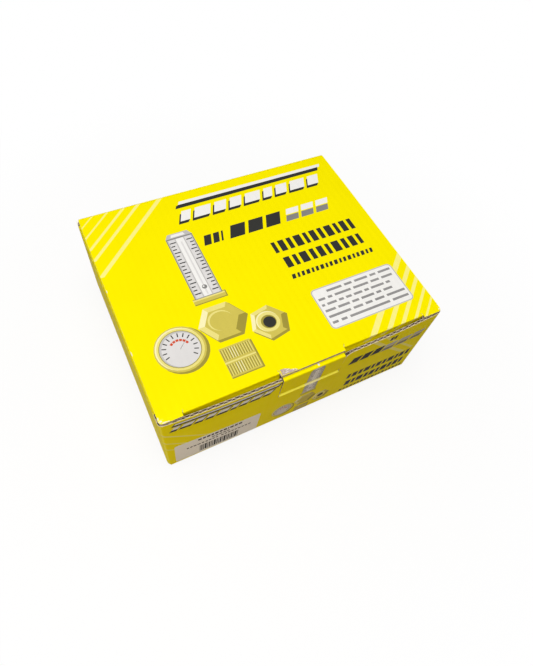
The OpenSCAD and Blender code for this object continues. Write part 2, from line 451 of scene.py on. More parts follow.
class BentPath:
    """A line in a plane, of straights and arcs that all turn towards the board's inner side."""

    def __init__(
        self, start: Point, heading: float, parts: Sequence[tuple[float, float]], inside: int
    ) -> None:
        """Lays the parts end to end.

        Args:
            start: First point.
            heading: First direction, in degrees.
            parts: Each is (length, 0) for a straight or (radius, degrees) for an arc.
            inside: 1 where the inner side is on the left of the heading, -1 on the right.
        """
        self.inside = inside
        self.spans: list[Span] = []
        here, way, done = Vector(start), math.radians(heading), 0.0
        for size, degrees in parts:
            angle = math.radians(degrees)
            length = size * angle if degrees else size
            radius = size if degrees else 0.0
            self.spans.append(Span(done, done + length, here.copy(), way, radius, angle))
            if degrees:
                centre = here + self._inward(way) * size
                way += inside * angle
                here = centre - self._inward(way) * size
            else:
                here = here + Vector((math.cos(way), math.sin(way))) * size
            done += length
        self.length = done

    def _inward(self, way: float) -> Vector:
        """Unit vector to the inner side of a heading in radians."""
        return Vector((-math.sin(way), math.cos(way))) * self.inside

    def shift(self, by: Vector) -> None:
        """Moves the whole path."""
        self.spans = [replace(span, origin=span.origin + by) for span in self.spans]

    def point(self, along: float, depth: float) -> Vector:
        """Point at a distance along the path and a depth into the board.

        Args:
            along: Distance from the path's start.
            depth: Depth from the outer face.

        Returns:
            The point in the path's plane.
        """
        index = next((i for i, span in enumerate(self.spans) if along <= span.end), len(self.spans) - 1)
        here = self.spans[index]
        ahead, inward = Vector((math.cos(here.way), math.sin(here.way))), self._inward(here.way)
        if here.radius and depth >= here.radius:
            return here.origin - ahead * here.mitre(depth) + inward * depth
        if here.radius:
            turned = here.way + self.inside * (along - here.start) / here.radius
            return here.origin + inward * here.radius - self._inward(turned) * (here.radius - depth)
        run = along - here.start
        if index > 0 and depth > self.spans[index - 1].radius:
            run = max(run, self.spans[index - 1].mitre(depth))
        if index + 1 < len(self.spans) and depth > self.spans[index + 1].radius:
            run = min(run, here.end - here.start - self.spans[index + 1].mitre(depth))
        return here.origin + ahead * run + inward * depth

    def stops(self, step: float) -> list[float]:
        """Distances at which a sheet needs a line so that it bends smoothly.

        Args:
            step: Widest gap between lines on a straight.

        Returns:
            The distances, in order.
        """
        marks = {0.0, self.length}
        for span in self.spans:
            if span.radius:
                count = max(1, math.ceil(span.angle / math.radians(ARC_STEP_DEG)))
                beside = (span.start - 0.3, span.end + 0.3)
                marks.update(at for at in beside if 0 < at < self.length)
            else:
                count = max(1, math.ceil((span.end - span.start) / step))
            marks.update(span.start + (span.end - span.start) * i / count for i in range(count + 1))
        return sorted(marks)


@dataclass(frozen=True)
class Side:
    """A plane that stands across a fold: its level axis points inward, and the fold runs along the other."""

    level: Vector
    along: Vector

    def point(self, fold: float, spot: Vector) -> Vector:
        """Point in space for a place along the fold and a spot in the plane."""
        return self.along * fold + self.level * spot.x + Vector((0, 0, spot.y))


FRONT = Side(Vector((0, 1, 0)), Vector((1, 0, 0)))
BACK = Side(Vector((0, -1, 0)), Vector((-1, 0, 0)))
LEFT = Side(Vector((1, 0, 0)), Vector((0, -1, 0)))
RIGHT = Side(Vector((-1, 0, 0)), Vector((0, 1, 0)))


@dataclass
class Cut:
    """A flat sheet: its outline, openings, printed shapes in paint order, and the lines it bends along."""

    outline: list[Point]
    holes: list[list[Point]] = field(default_factory=list)
    prints: list[tuple[Ink, list[Point]]] = field(default_factory=list)
    lines_u: Iterable[float] = ()
    lines_v: Iterable[float] = ()
    base: Ink = Ink.YELLOW

    def triangles(self) -> tuple[list[Point], list[tuple[int, ...]], list[Ink]]:
        """Cuts the sheet into triangles.

        Returns:
            The points, the triangles, and the ink of each triangle.
        """
        points: list[Vector] = []
        faces: list[list[int]] = []
        for loop in [self.outline, *self.holes, *[shape for _, shape in self.prints]]:
            area = sum(a[0] * b[1] - b[0] * a[1] for a, b in zip(loop, [*loop[1:], loop[0]]))
            ring = list(loop) if area > 0 else list(reversed(loop))
            faces.append(list(range(len(points), len(points) + len(ring))))
            points += [Vector(p) for p in ring]
        low_u, high_u = min(p[0] for p in self.outline), max(p[0] for p in self.outline)
        low_v, high_v = min(p[1] for p in self.outline), max(p[1] for p in self.outline)
        edges: list[tuple[int, int]] = []
        for u in self.lines_u:
            if low_u < u < high_u:
                edges.append((len(points), len(points) + 1))
                points += [Vector((u, low_v - 1)), Vector((u, high_v + 1))]
        for v in self.lines_v:
            if low_v < v < high_v:
                edges.append((len(points), len(points) + 1))
                points += [Vector((low_u - 1, v)), Vector((high_u + 1, v))]
        whole_hull, tolerance = 0, 1e-4
        out, _, tris, _, _, owners = delaunay_2d_cdt(points, edges, faces, whole_hull, tolerance, True)
        kept: list[tuple[int, ...]] = []
        inks: list[Ink] = []
        first_print = 1 + len(self.holes)
        for tri, owner in zip(tris, owners):
            if 0 not in owner or any(1 <= o < first_print for o in owner):
                continue
            top = max(owner)
            kept.append(tuple(tri))
            inks.append(self.prints[top - first_print][0] if top >= first_print else self.base)
        used = sorted({i for tri in kept for i in tri})
        number = {old: new for new, old in enumerate(used)}
        kept = [tuple(number[i] for i in tri) for tri in kept]
        return [(out[i].x, out[i].y) for i in used], kept, inks


class BoardMesh:
    """Gathers bent sheets into one mesh."""

    def __init__(self) -> None:
        """Starts empty."""
        self.verts: list[Vector] = []
        self.faces: list[tuple[int, ...]] = []
        self.inks: list[Ink] = []
        self.flat: list[Point3] = []
        self.wear: list[float] = []

    def _add(self, spots: Iterable[Point3], place: Place, worn: Wear) -> int:
        """Adds points.

        Args:
            spots: Flat spots, each with its depth.
            place: Bends a flat spot and a depth into space.
            worn: Wear and painted highlight at a flat spot, from 0 to 1.

        Returns:
            The number of the first point.
        """
        first = len(self.verts)
        for u, v, depth in spots:
            self.verts.append(place(u, v, depth))
            self.flat.append((u, v, depth))
            self.wear.append(worn(u, v))
        return first

    def sheet(
        self,
        cut: Cut,
        place: Place,
        outer: float,
        inner: float,
        back: Ink,
        edge: Ink,
        worn: Wear = unworn,
    ) -> None:
        """Adds one layer of board with its two faces and its cut edges.

        Args:
            cut: The flat sheet.
            place: Bends a flat spot and a depth into space.
            outer: Depth of the layer's outer face.
            inner: Depth of its inner face.
            back: Finish of the inner face.
            edge: Finish of the cut edges.
            worn: Wear and painted highlight at a flat spot, from 0 to 1.
        """
        points, tris, inks = cut.triangles()
        front = self._add([(u, v, outer) for u, v in points], place, worn)
        rear = self._add([(u, v, inner) for u, v in points], place, unworn)
        rims: dict[tuple[int, int], int] = {}
        for tri, ink in zip(tris, inks):
            self.faces += [tuple(front + i for i in tri), tuple(rear + i for i in reversed(tri))]
            self.inks += [ink, back]
            for a, b in zip(tri, (*tri[1:], tri[0])):
                if rims.pop((b, a), None) is None:
                    rims[(a, b)] = 1
        for a, b in rims:
            (ua, va), (ub, vb) = points[a], points[b]
            spots = [(ua, va, outer), (ub, vb, outer), (ub, vb, inner), (ua, va, inner)]
            first = self._add(spots, place, unworn)
            self.faces.append((first + 1, first, first + 3, first + 2))
            self.inks.append(edge)

    def flutes(self, place: Place, low: float, high: float, stops: Sequence[float], sizes: Sizes) -> None:
        """Adds the fluted medium over a rectangle of the sheet; the flutes run along v.

        Args:
            place: Bends a flat spot and a depth into space.
            low: Lowest u.
            high: Highest u.
            stops: The v of each line across the flutes.
            sizes: The carton's sizes.
        """
        count = max(2, math.ceil((high - low) / FLUTE_PITCH * FLUTE_STEPS))
        mid = (sizes.liner + sizes.board - sizes.inner_liner) / 2
        swing = (sizes.board - sizes.liner - sizes.inner_liner) / 2 - MEDIUM_HALF
        us = [low + (high - low) * i / count for i in range(count + 1)]
        waves = [mid + swing * math.cos(2 * math.pi * u / FLUTE_PITCH) for u in us]
        outer, inner = (
            self._add([(u, v, wave + half) for v in stops for u, wave in zip(us, waves)], place, unworn)
            for half in (-MEDIUM_HALF, MEDIUM_HALF)
        )
        row = count + 1
        for j in range(len(stops) - 1):
            for i in range(count):
                a = j * row + i
                ring = (a, a + 1, a + row + 1, a + row)
                self.faces.append(tuple(outer + k for k in ring))
                self.faces.append(tuple(inner + k for k in reversed(ring)))
                self.inks += [Ink.MEDIUM, Ink.MEDIUM]
        for j in (0, len(stops) - 1):
            for i in range(count):
                a = j * row + i
                ring = (outer + a, outer + a + 1, inner + a + 1, inner + a)
                self.faces.append(tuple(reversed(ring)) if j == 0 else ring)
                self.inks.append(Ink.MEDIUM)

    def board(
        self,
        cut: Cut,
        place: Place,
        sizes: Sizes,
        worn: Wear = unworn,
    ) -> None:
        """Adds the printed liner and the inner liner of one panel.

        Args:
            cut: The flat sheet.
            place: Bends a flat spot and a depth into space.
            sizes: The carton's sizes.
            worn: Wear and painted highlight of the printed face at a flat spot, from 0 to 1.
        """
        self.sheet(cut, place, 0.0, sizes.liner, Ink.KRAFT, Ink.LINER_EDGE, worn)
        plain = Cut(cut.outline, cut.holes, [], cut.lines_u, cut.lines_v, Ink.KRAFT)
        self.sheet(plain, place, sizes.board - sizes.inner_liner, sizes.board, Ink.KRAFT, Ink.LINER_EDGE)

    def make(self, name: str, inks: Inks) -> bpy.types.Object:
        """Makes the object.

        Args:
            name: Name of the piece.
            inks: Where its materials come from.

        Returns:
            The new object.
        """
        mesh = bpy.data.meshes.new(name)
        mesh.from_pydata([v * MM for v in self.verts], [], self.faces)
        used = list(dict.fromkeys(self.inks))
        for ink in used:
            mesh.materials.append(inks.of(ink))
        numbers = {ink: i for i, ink in enumerate(used)}
        mesh.polygons.foreach_set("material_index", [numbers[ink] for ink in self.inks])
        mesh.polygons.foreach_set("use_smooth", [True] * len(self.faces))
        flat = mesh.attributes.new("sheet", "FLOAT_VECTOR", "POINT")
        flat.data.foreach_set("vector", [c for spot in self.flat for c in spot])
        # The wear attribute holds real wear and the painted highlights of the tab's crease and the walls'
        # upright corners.
        wear = mesh.attributes.new("wear", "FLOAT", "POINT")
        wear.data.foreach_set("value", self.wear)
        mesh.validate()
        mesh.update()
        mesh.set_sharp_from_angle(angle=math.radians(SHARP_DEG))
        obj = bpy.data.objects.new(name, mesh)
        bpy.context.scene.collection.objects.link(obj)
        log.info("%s: %d faces", name, len(self.faces))
        return obj


def between(low: float, high: float, step: float) -> list[float]:
    """Even stops from low to high, no further apart than step."""
    count = max(1, math.ceil((high - low) / step))
    return [low + (high - low) * i / count for i in range(count + 1)]


def quad(x0: float, y0: float, x1: float, y1: float) -> list[Point]:
    """Corners of an upright rectangle."""
    return [(x0, y0), (x1, y0), (x1, y1), (x0, y1)]


def disc(x: float, y: float, rx: float, ry: float, sides: int = 28, turn: float = 0.0) -> list[Point]:
    """Points round an ellipse."""
    step = 2 * math.pi / sides
    return [(x + rx * math.cos(turn + i * step), y + ry * math.sin(turn + i * step)) for i in range(sides)]


def rounded(x0: float, y0: float, x1: float, y1: float, r: float) -> list[Point]:
    """Points round a rectangle with rounded corners.

    Args:
        x0: Left side.
        y0: Lower side.
        x1: Right side.
        y1: Upper side.
        r: Radius of the corners.

    Returns:
        The points.
    """
    steps = 5
    corners = [(x1 - r, y1 - r, 0), (x0 + r, y1 - r, 90), (x0 + r, y0 + r, 180), (x1 - r, y0 + r, 270)]
    turns = [(cx, cy, math.radians(at + k * 90 / steps)) for cx, cy, at in corners for k in range(steps + 1)]
    return [(cx + r * math.cos(a), cy + r * math.sin(a)) for cx, cy, a in turns]


@dataclass(frozen=True)
class Row:
    """A printed row of blocks between two lines, which may slope and slant."""

    left: float
    right: float
    top: float
    low: float
    slant: float = 0.0
    fall: float = 0.0

    def block(self, a: float, b: float, up: float = 1.0, down: float = 0.0) -> list[Point]:
        """One block of the row.

        Args:
            a: Left end, as a share of the row.
            b: Right end, as a share of the row.
            up: Upper edge, as a share of the row's height.
            down: Lower edge, as a share of the row's height.

        Returns:
            The block's four corners.
        """
        wide, tall = self.right - self.left, self.top - self.low
        spots = [(a, down), (b, down), (b, up), (a, up)]
        return [
            (self.left + wide * share + self.slant * height, self.low + tall * height - self.fall * share)
            for share, height in spots
        ]

    def blocks(self, widths: Sequence[float], gap: float) -> list[list[Point]]:
        """Blocks across the whole row.

        Args:
            widths: Their relative widths; a negative width is an empty space.
            gap: Relative width of the gap between two blocks.

        Returns:
            The corners of each block.
        """
        total = sum(abs(w) for w in widths) + gap * (len(widths) - 1)
        at, out = 0.0, []
        for width in widths:
            if width > 0:
                out.append(self.block(at / total, (at + width) / total))
            at += abs(width) + gap
        return out


class PrintLayout:
    """The generic printed design: stripes, blocks, a ruled column with round and six-sided forms, a panel."""

    def __init__(self) -> None:
        """Starts with nothing printed."""
        self.shapes: list[tuple[Ink, list[Point]]] = []

    def put(self, ink: Ink, shape: list[Point]) -> None:
        """Prints one shape over those before it."""
        self.shapes.append((ink, shape))

    def stripe(self, x: float, y: float, width: float, slope: float, run: float, ink: Ink = Ink.PALE) -> None:
        """Prints a stripe that slants from a spot, with its width and its run measured along x."""
        top = y + slope * run
        self.put(ink, [(x, y), (x + width, y), (x + width + run, top), (x + run, top)])

    def shaded_row(self, row: Row, widths: Sequence[float], gap: float, drop: float) -> None:
        """Prints white blocks, each over its own dark shade.

        Args:
            row: Where they stand.
            widths: Their relative widths.
            gap: Relative width of the gap between two blocks.
            drop: How far the shade lies below each block.
        """
        aside = drop * 0.9
        for block in row.blocks(widths, gap):
            self.put(Ink.DARK, [(x - aside, y - drop) for x, y in block])
        for block in row.blocks(widths, gap):
            left, right = block[:2]
            self.put(Ink.DARK, [left, right, *((x - aside, y - drop) for x, y in (right, left))])
            self.put(Ink.WHITE, block)

    def plain_row(self, row: Row, widths: Sequence[float], gap: float, ink: Ink) -> None:
        """Prints blocks of one ink."""
        for block in row.blocks(widths, gap):
            self.put(ink, block)


@dataclass
class Motif:
    """The ruled column over a group of round and six-sided brass forms, round the column's top middle."""

    page: PrintLayout
    x: float
    y: float
    sx: float
    sy: float

    def put(self, ink: Ink, points: Iterable[Point]) -> None:
        """Prints one shape at the motif's place and scale."""
        self.page.put(ink, [(self.x + self.sx * px, self.y + self.sy * py) for px, py in points])

    def rings(self, *rings: tuple[Ink, float, float, float]) -> None:
        """Prints discs one over another, each given by its ink, its middle and its radius."""
        for ink, x, y, r in rings:
            self.put(ink, disc(x, y, r, r))

    def facets(self, middle: Point, rim: Point, flat: Point, turn: float = 0.0) -> None:
        """Prints a six-sided form with a slanting edge round a flat face.

        Args:
            middle: Its middle.
            rim: Its half widths.
            flat: Half widths of its flat face.
            turn: Its turn, in radians.
        """
        outer, inner = disc(*middle, *rim, 6, turn), disc(*middle, *flat, 6, turn)
        tones = (Ink.BRASS, Ink.BRASS_LIGHT, Ink.BRASS_PALE, Ink.BRASS_LIGHT, Ink.BRASS, Ink.BRASS_DARK)
        for k, tone in enumerate(tones):
            far = (k + 1) % 6
            self.put(tone, [outer[k], outer[far], inner[far], inner[k]])
        self.put(Ink.BRASS, inner)

    def nut(self) -> None:
        """Prints the six-sided form with a dark bore."""
        self.put(Ink.BRASS_DARK, disc(35, -111, 16.5, 16.5, 6, 0.2))
        self.facets((34, -109.2), (16, 16), (12.4, 12.4), 0.2)
        self.rings(
            (Ink.BRASS_PALE, 33.4, -108.6, 9.6),
            (Ink.BRASS_LIGHT, 34, -109.2, 9.2),
            (Ink.BRASS_DARK, 34, -109.2, 6.4),
            (Ink.DARK, 34.5, -109.7, 5.2),
        )

    def ribbed_block(self) -> None:
        """Prints the block with two rows of ribs."""
        self.put(Ink.BRASS_DARK, quad(-13, -144, 14, -118))
        self.put(Ink.BRASS, quad(-13, -143, 12.6, -117))
        for low, high in ((-141.5, -132), (-128, -118.5)):
            for step in range(12):
                left = -12.4 + step * 2.06
                shine = Ink.BRASS_PALE if 2 < step < 6 else Ink.BRASS_LIGHT
                self.put(Ink.BRASS_DARK, quad(left, low, left + 0.9, high))
                self.put(shine, quad(left + 0.9, low, left + 1.5, high))
        self.put(Ink.BRASS_LIGHT, quad(-13, -131, 12.6, -129.6))

    def six_sided_cap(self) -> None:
        """Prints the wide six-sided form under the column."""
        self.put(Ink.BRASS_DARK, disc(1.2, -96, 20.5, 18.5, 6))
        self.facets((0, -94), (20, 18), (14.5, 13))
        self.put(Ink.BRASS_LIGHT, disc(-0.8, -93.2, 10.4, 9.4))
        self.put(Ink.BRASS, disc(0, -94, 9.8, 8.8))

    def dial(self) -> None:
        """Prints the round dial with its ticks, its red arc and its needle."""
        self.rings(
            (Ink.BRASS_DARK, -37.4, -106.6, 20.5),
            (Ink.BRASS, -39, -105, 20),
            (Ink.BRASS_PALE, -39.5, -104.5, 18.6),
            (Ink.BRASS_LIGHT, -38.8, -105.2, 18.2),
            (Ink.BRASS_DARK, -39, -105, 16.4),
            (Ink.GREY, -39, -105, 15.8),
            (Ink.SILVER, -38.4, -105.6, 14.9),
        )
        for step in range(13):
            a = math.radians(-40 + step * 20)
            c, s = math.cos(a), math.sin(a)
            ends = [(r, w) for r, w in ((10.5, -0.45), (14, -0.45), (14, 0.45), (10.5, 0.45))]
            self.put(Ink.DARK, [(-39 + r * c - w * s, -105 + r * s + w * c) for r, w in ends])
        for step in range(6):
            a, b = math.radians(20 + step * 20), math.radians(36 + step * 20)
            arc = [(8.8, a), (8.8, b), (6.8, b), (6.8, a)]
            self.put(Ink.RED, [(-39 + r * math.cos(t), -105 + r * math.sin(t)) for r, t in arc])
        self.put(Ink.DARK, [(-39.6, -106), (-38.4, -104.4), (-30, -97)])

    def column(self) -> None:
        """Prints the collar, the clear tube with its ruled lines and float, and the cap."""
        self.put(Ink.BRASS_DARK, quad(-14, -73.6, 14.6, -67))
        self.put(Ink.BRASS, quad(-14, -72.6, 13.6, -67.4))
        self.put(Ink.BRASS_LIGHT, quad(-14, -69.4, 13.6, -68))
        self.put(Ink.MID, quad(-12, -68, 12, 0))
        self.put(Ink.GREY, quad(-11.2, -67.4, 11.2, -1.2))
        self.put(Ink.SILVER, quad(-10.2, -67, -4.6, -1.6))
        self.put(Ink.SILVER, quad(4.2, -67, 10.2, -1.6))
        self.put(Ink.WHITE, quad(-3.6, -67, 3.2, -1.6))
        self.put(Ink.SILVER, quad(-0.6, -66, 0.8, -6))
        self.put(Ink.MID, disc(0.2, -58, 2.2, 2.2, 16))
        self.put(Ink.WHITE, disc(-0.4, -57.4, 0.8, 0.8, 10))
        for step in range(16):
            long = 5.4 if step % 3 == 0 else 3.4
            level = -63.5 + step * 3.85
            self.put(Ink.DARK, quad(-10, level, -10 + long, level + 1.1))
            self.put(Ink.DARK, quad(10.4 - long, level, 10.4, level + 1.1))
        self.put(Ink.GREY, [(-12, 0), (12, 0), (9, 5), (-9, 5)])
        self.put(Ink.WHITE, [(-7, 1), (6, 1), (5, 4), (-6, 4)])

    def draw(self) -> None:
        """Prints the whole motif, in paint order."""
        self.nut()
        self.ribbed_block()
        self.six_sided_cap()
        self.dial()
        self.column()


# The print that the lid, the crease behind it and the front wall share.
STRIPE_LEFT = -126
STRIPE_SLOPE = 0.92
STRIPE_DROP = 2.4
STRIPE_RUN = 90
BACK_STRIPES = ((93.2, 1.5), (81.2, 2.2), (68.2, 3.3), (56.0, 3.8), (37.8, 5.0))
HEAD_BLOCKS = (7, 12, 9, 9, 12, 7, 9, 12, 9)
BOLD_BLOCKS = (3.4, 5.4, 4, 6.6, 3.4, 5.4, 4, 6.6, 3.4, 5.4, 4)
LOWER_BLOCKS = (5.4, 3.4, 6.6, 4, 5.4, 3.4, 6.6, 4, 5.4, 3.4)
THIN_BLOCKS = (3, 2, 2.4) * 6
EVEN_BLOCKS = (12, 12, 12)
SCUFFS = (
    (-122.6, -99.6, 1.3, 0.7, 0.6),
    (-120.0, -101.2, 1.9, 0.45, 0.1),
    (-123.4, -97.2, 0.45, 1.2, 0.1),
    (-117.2, -101.5, 1.0, 0.3, 0.0),
    (122.8, -99.9, 0.9, 0.6, -0.7),
    (-123.5, 20.5, 0.35, 1.6, 0.0),
    (-123.6, -41.0, 0.3, 2.2, 0.0),
)
PANEL_ROWS = (
    (1.0, (-5, 9, 4.5, 8, 3.6, 7.5)),
    (0.98, (4, 2.6, 10, 9.5, 5.4, 7)),
    (0.9, (2, 6.5, 3.4, 4, 6, 3.2, 9.5, 3)),
    (0.88, (6.5, 7.5, 4.5, 8.5, 3.2, 6)),
    (1.0, (12.5, 5.4, 4, 5.5, 11)),
    (1.0, (3, 3, 22, 9)),
)


def lid_print(sizes: Sizes) -> PrintLayout:
    """The lid's print, in the lid's own x and y.

    Args:
        sizes: The carton's sizes.

    Returns:
        The finished layout.
    """
    page = PrintLayout()
    for y, width in BACK_STRIPES:
        page.stripe(STRIPE_LEFT, y - STRIPE_DROP, width, STRIPE_SLOPE, STRIPE_RUN)
    for x, width in ((54, 7.0), (70.5, 5.5), (84.5, 4.5), (98, 3.5), (110, 2.5)):
        page.stripe(x - 7, sizes.lid_crease_y - 5.2, width, STRIPE_SLOPE, STRIPE_RUN)
    bar = Row(-37, 112, 93.4, 89.8, 2.0)
    page.put(Ink.DARK, [(x - 4, y - 4.2) for x, y in bar.block(0, 1)])
    page.put(Ink.DARK, [(-41, 85.6), (107, 85.6), (110, 90), (-37, 90)])
    page.put(Ink.WHITE, bar.block(0, 1))
    page.shaded_row(Row(-42, 100, 81.4, 70.0, 5.0), HEAD_BLOCKS, 3.0, 3.0)
    page.plain_row(Row(-33, -15, 47, 36, 3.5), (6, 5, 1.6), 1.8, Ink.DARK)
    page.plain_row(Row(-9, 41, 49.5, 35.4, 6.0), EVEN_BLOCKS, 2.8, Ink.DARK)
    page.plain_row(Row(50.6, 95, 49.5, 43.1, 3.0), EVEN_BLOCKS, 2.8, Ink.WHITE)
    page.plain_row(Row(47.2, 91.6, 42.1, 35.4, 3.0), EVEN_BLOCKS, 2.8, Ink.MID)
    page.plain_row(Row(21.4, 104, 17.8, 5.2), BOLD_BLOCKS, 2.6, Ink.DARK)
    page.plain_row(Row(24, 102, -1.2, -13.0), LOWER_BLOCKS, 2.6, Ink.DARK)
    page.plain_row(Row(22, 103.6, -20.4, -25.2, 1.0), THIN_BLOCKS, 1.7, Ink.DARK)
    Motif(page, -50, 54, 1.0, 1.0).draw()
    for x, y, rx, ry, turn in SCUFFS:
        page.put(Ink.FIBRE, disc(x, y, rx, ry, 9, turn))
    page.put(Ink.GREY, rounded(28.4, -82.8, 109.6, -41.8, 4.0))
    page.put(Ink.WHITE, rounded(29.4, -81.8, 108.6, -42.8, 3.2))
    for number, (reach, widths) in enumerate(PANEL_ROWS):
        top = -45.6 - number * 5.95
        page.plain_row(Row(31.4, 31.4 + 75.4 * reach, top - 0.2, top - 2.5), widths, 1.7, Ink.TEXT)
    return page


def front_print() -> PrintLayout:
    """The front wall's print, in x and height.

    Returns:
        The finished layout.
    """
    page = PrintLayout()
    for y, width, run in ((79, 2.4, 46), (62, 2.0, 24), (47, 1.6, 12)):
        page.stripe(STRIPE_LEFT, y, width, -STRIPE_SLOPE, run)
    for x, width in ((51, 4.6), (63, 3.4), (74, 2.6), (89, 2.6), (97, 4.0)):
        page.stripe(x, 101, width, -1.08, 52)
    page.put(Ink.DARK, Row(-117.0, -30.8, 95.6, 90.2, 3.0, -0.2).block(0, 1))
    page.put(Ink.WHITE, Row(-114.8, -31.6, 94.9, 92.6, 1.6, -0.2).block(0, 1))
    page.plain_row(Row(-119.0, -37.6, 89.6, 81.2, 5.0), HEAD_BLOCKS, 2.0, Ink.DARK)
    page.plain_row(Row(-117.0, -37.0, 89.0, 84.4, 2.8), HEAD_BLOCKS, 3.6, Ink.WHITE)
    page.plain_row(Row(74, 81, 92.8, 87.0, 0.6), (3, 2.4), 0.8, Ink.DARK)
    page.plain_row(Row(36.6, 69, 83.0, 72.4, 3.4, 0.8), (9, 9, 9.6), 1.8, Ink.DARK)
    page.plain_row(Row(72, 116, 81.6, 76.4, 2.0, 2.6), (9, 9.2, 9), 1.8, Ink.GREY)
    page.plain_row(Row(70.4, 114.4, 75.6, 70.6, 1.8, 2.6), (9, 9.2, 9), 1.8, Ink.MID)
    page.plain_row(Row(45.6, 116.5, 46.0, 36.2, 0.0, 4.2), BOLD_BLOCKS, 1.7, Ink.DARK)
    page.plain_row(Row(48, 115, 28.8, 17.8, 0.0, 2.6), LOWER_BLOCKS, 1.7, Ink.DARK)
    page.plain_row(Row(45.4, 118.7, 10.6, 6.2, 0.5, 1.0), THIN_BLOCKS, 1.6, Ink.DARK)
    Motif(page, 3.2, 94.2, 0.54, 0.655).draw()
    return page


class WallEnds(NamedTuple):
    """Distances round the walls at which each wall starts and ends."""

    left_end: float
    front: float
    front_end: float
    right: float
    right_end: float
    back: float
    back_end: float
    flap: float
    flap_end: float


@dataclass
class CartonShell:
    """The walls, the dust flaps and the bottom flaps, which stay still."""

    sizes: Sizes
    inks: Inks
    dust_l: float = 85.0
    dust_front: float = 10.0
    dust_back: float = 5.0
    dust_taper: float = 12.0
    floor_l: float = 75.0
    floor_play: float = 2.0
    floor_side: float = 5.2
    seam: float = 0.8
    joint_flap: float = 30.0
    flap_slope: float = 8.0

    def __post_init__(self) -> None:
        """Lays out the path round the walls."""
        s = self.sizes
        inner_x = s.board + s.flap_gap
        side = s.back_y - s.front_y - s.corner_r
        wide = 2 * s.half_w - 2 * s.corner_r
        parts = [
            (side, 0),
            (s.corner_r, 90),
            (wide, 0),
            (s.corner_r, 90),
            (side - s.corner_r, 0),
            (s.corner_r, 90),
            (wide - inner_x, 0),
            (s.corner_r, 90),
            (self.joint_flap - s.corner_r, 0),
        ]
        self.path = BentPath((-s.half_w, s.back_y), -90, parts, 1)
        self.ends = WallEnds(*(span.end for span in self.path.spans))

    def along_front(self, x: float) -> float:
        """Distance round the walls of a place on the front."""
        return self.ends.front + x + self.sizes.half_w - self.sizes.corner_r

    def dust_ends(self) -> tuple[float, float]:
        """Distances round the walls of the front ends of the two dust flaps' folds."""
        s = self.sizes
        return s.back_y - s.front_y - self.dust_front, self.ends.right + self.dust_front - s.corner_r

    def place(self, u: float, v: float, depth: float) -> Vector:
        """Bends the wall strip round the carton, bows its front and presses its top edge thinner.

        Args:
            u: Distance round the walls.
            v: Height.
            depth: Depth from the outer face.

        Returns:
            The point in space.
        """
        s = self.sizes
        pressed = unit((v - s.wall_top + s.crush_h) / s.crush_h) * s.crush
        spot = self.path.point(u, depth * (1 - pressed / s.board))
        fade = unit((spot.y - s.front_y - s.corner_r) / s.bow_fade)
        out = s.face_out(spot.x, v) * (1 - smooth(fade)) if fade < 1 else 0.0
        return Vector((spot.x, spot.y - out, v))

    def outline(self) -> list[Point]:
        """The wall strip's outline, with the opening for the lock tab.

        Returns:
            The points, from the foot of the left wall's rear end.
        """
        s, e = self.sizes, self.ends
        low, side_low = s.corner_r, s.board + s.flap_gap + s.corner_r
        high, dust_low = s.wall_top, s.wall_top - s.corner_r
        near, far = self.dust_ends()
        rear = e.right_end - self.dust_back
        cut_l, cut_r = self.along_front(-s.slot_half), self.along_front(s.slot_half)
        foot = [(0, side_low), (e.left_end, side_low), (e.front, low), (e.front_end, low)]
        foot += [(e.right, side_low), (e.right_end, side_low), (e.back, low), (e.back_end, low)]
        foot += [(e.flap, side_low + 2), (e.flap_end, side_low + self.flap_slope)]
        back = [(e.flap_end, s.hinge_low - self.flap_slope), (e.flap, s.hinge_low), (e.back, s.hinge_low)]
        right = [(e.back, high), (e.right_end, high), (rear, high), (rear, dust_low), (far, dust_low)]
        front = [(far, high), *self.notch(), (cut_r, s.tab_low), (cut_l, s.tab_low), (cut_l, high)]
        left = [(near, high), (near, dust_low), (self.dust_back, dust_low), (self.dust_back, high), (0, high)]
        return [*foot, *back, *right, *front, *left]

    def flute_spans(self) -> list[tuple[float, float, float]]:
        """Where flutes run in the walls.

        Returns:
            The start, the end and the top of each run.
        """
        s, e = self.sizes, self.ends
        high, dust_low = s.wall_top, s.wall_top - s.corner_r
        near, far = self.dust_ends()
        rear = e.right_end - self.dust_back
        cut_l, cut_r = self.along_front(-s.slot_half), self.along_front(s.slot_half)
        under_notch = ((0.4, 1.4), (1.4, 3.4), (3.4, s.notch_r))
        return [
            (FLUTE_SIDE, self.dust_back, high),
            (self.dust_back, near, dust_low),
            (near, cut_l - FLUTE_SIDE, high),
            (cut_l, cut_r, s.tab_low),
            (cut_r + s.notch_r, far, high),
            (far, rear, dust_low),
            *((cut_r + a, cut_r + b, self.notch_top(a)) for a, b in under_notch),
            (rear, e.right_end, high),
            (e.right_end, e.flap, s.hinge_low),
            (e.flap, e.flap_end - FLUTE_SIDE, s.hinge_low - self.flap_slope - 0.5),
        ]

    def walls(self, mesh: BoardMesh) -> None:
        """Adds the strip of walls with its print and its flutes.

        Args:
            mesh: Where it goes.
        """
        s, e = self.sizes, self.ends
        low, high, side_low = s.corner_r, s.wall_top, s.board + s.flap_gap + s.corner_r
        shift = self.along_front(0)
        prints = [(ink, [(x + shift, y) for x, y in shape]) for ink, shape in front_print().shapes]
        prints = [(ink, shape) for ink, shape in prints if all(e.left_end < u < e.right for u, _ in shape)]
        prints.append((Ink.PALE, self.pale_notch_line()))
        lines_v = [*between(low, high - s.crush_h, 7), high - s.crush_h / 2]
        mesh.board(Cut(self.outline(), [], prints, self.path.stops(7), lines_v), self.place, s, self.worn)
        for start, end, above in self.flute_spans():
            foot = low if e.front <= start < e.front_end else side_low
            bend = min(above - 0.5, high - s.crush_h)
            mesh.flutes(self.place, start, end, [*between(foot, bend, 12), above - FLUTE_END], s)

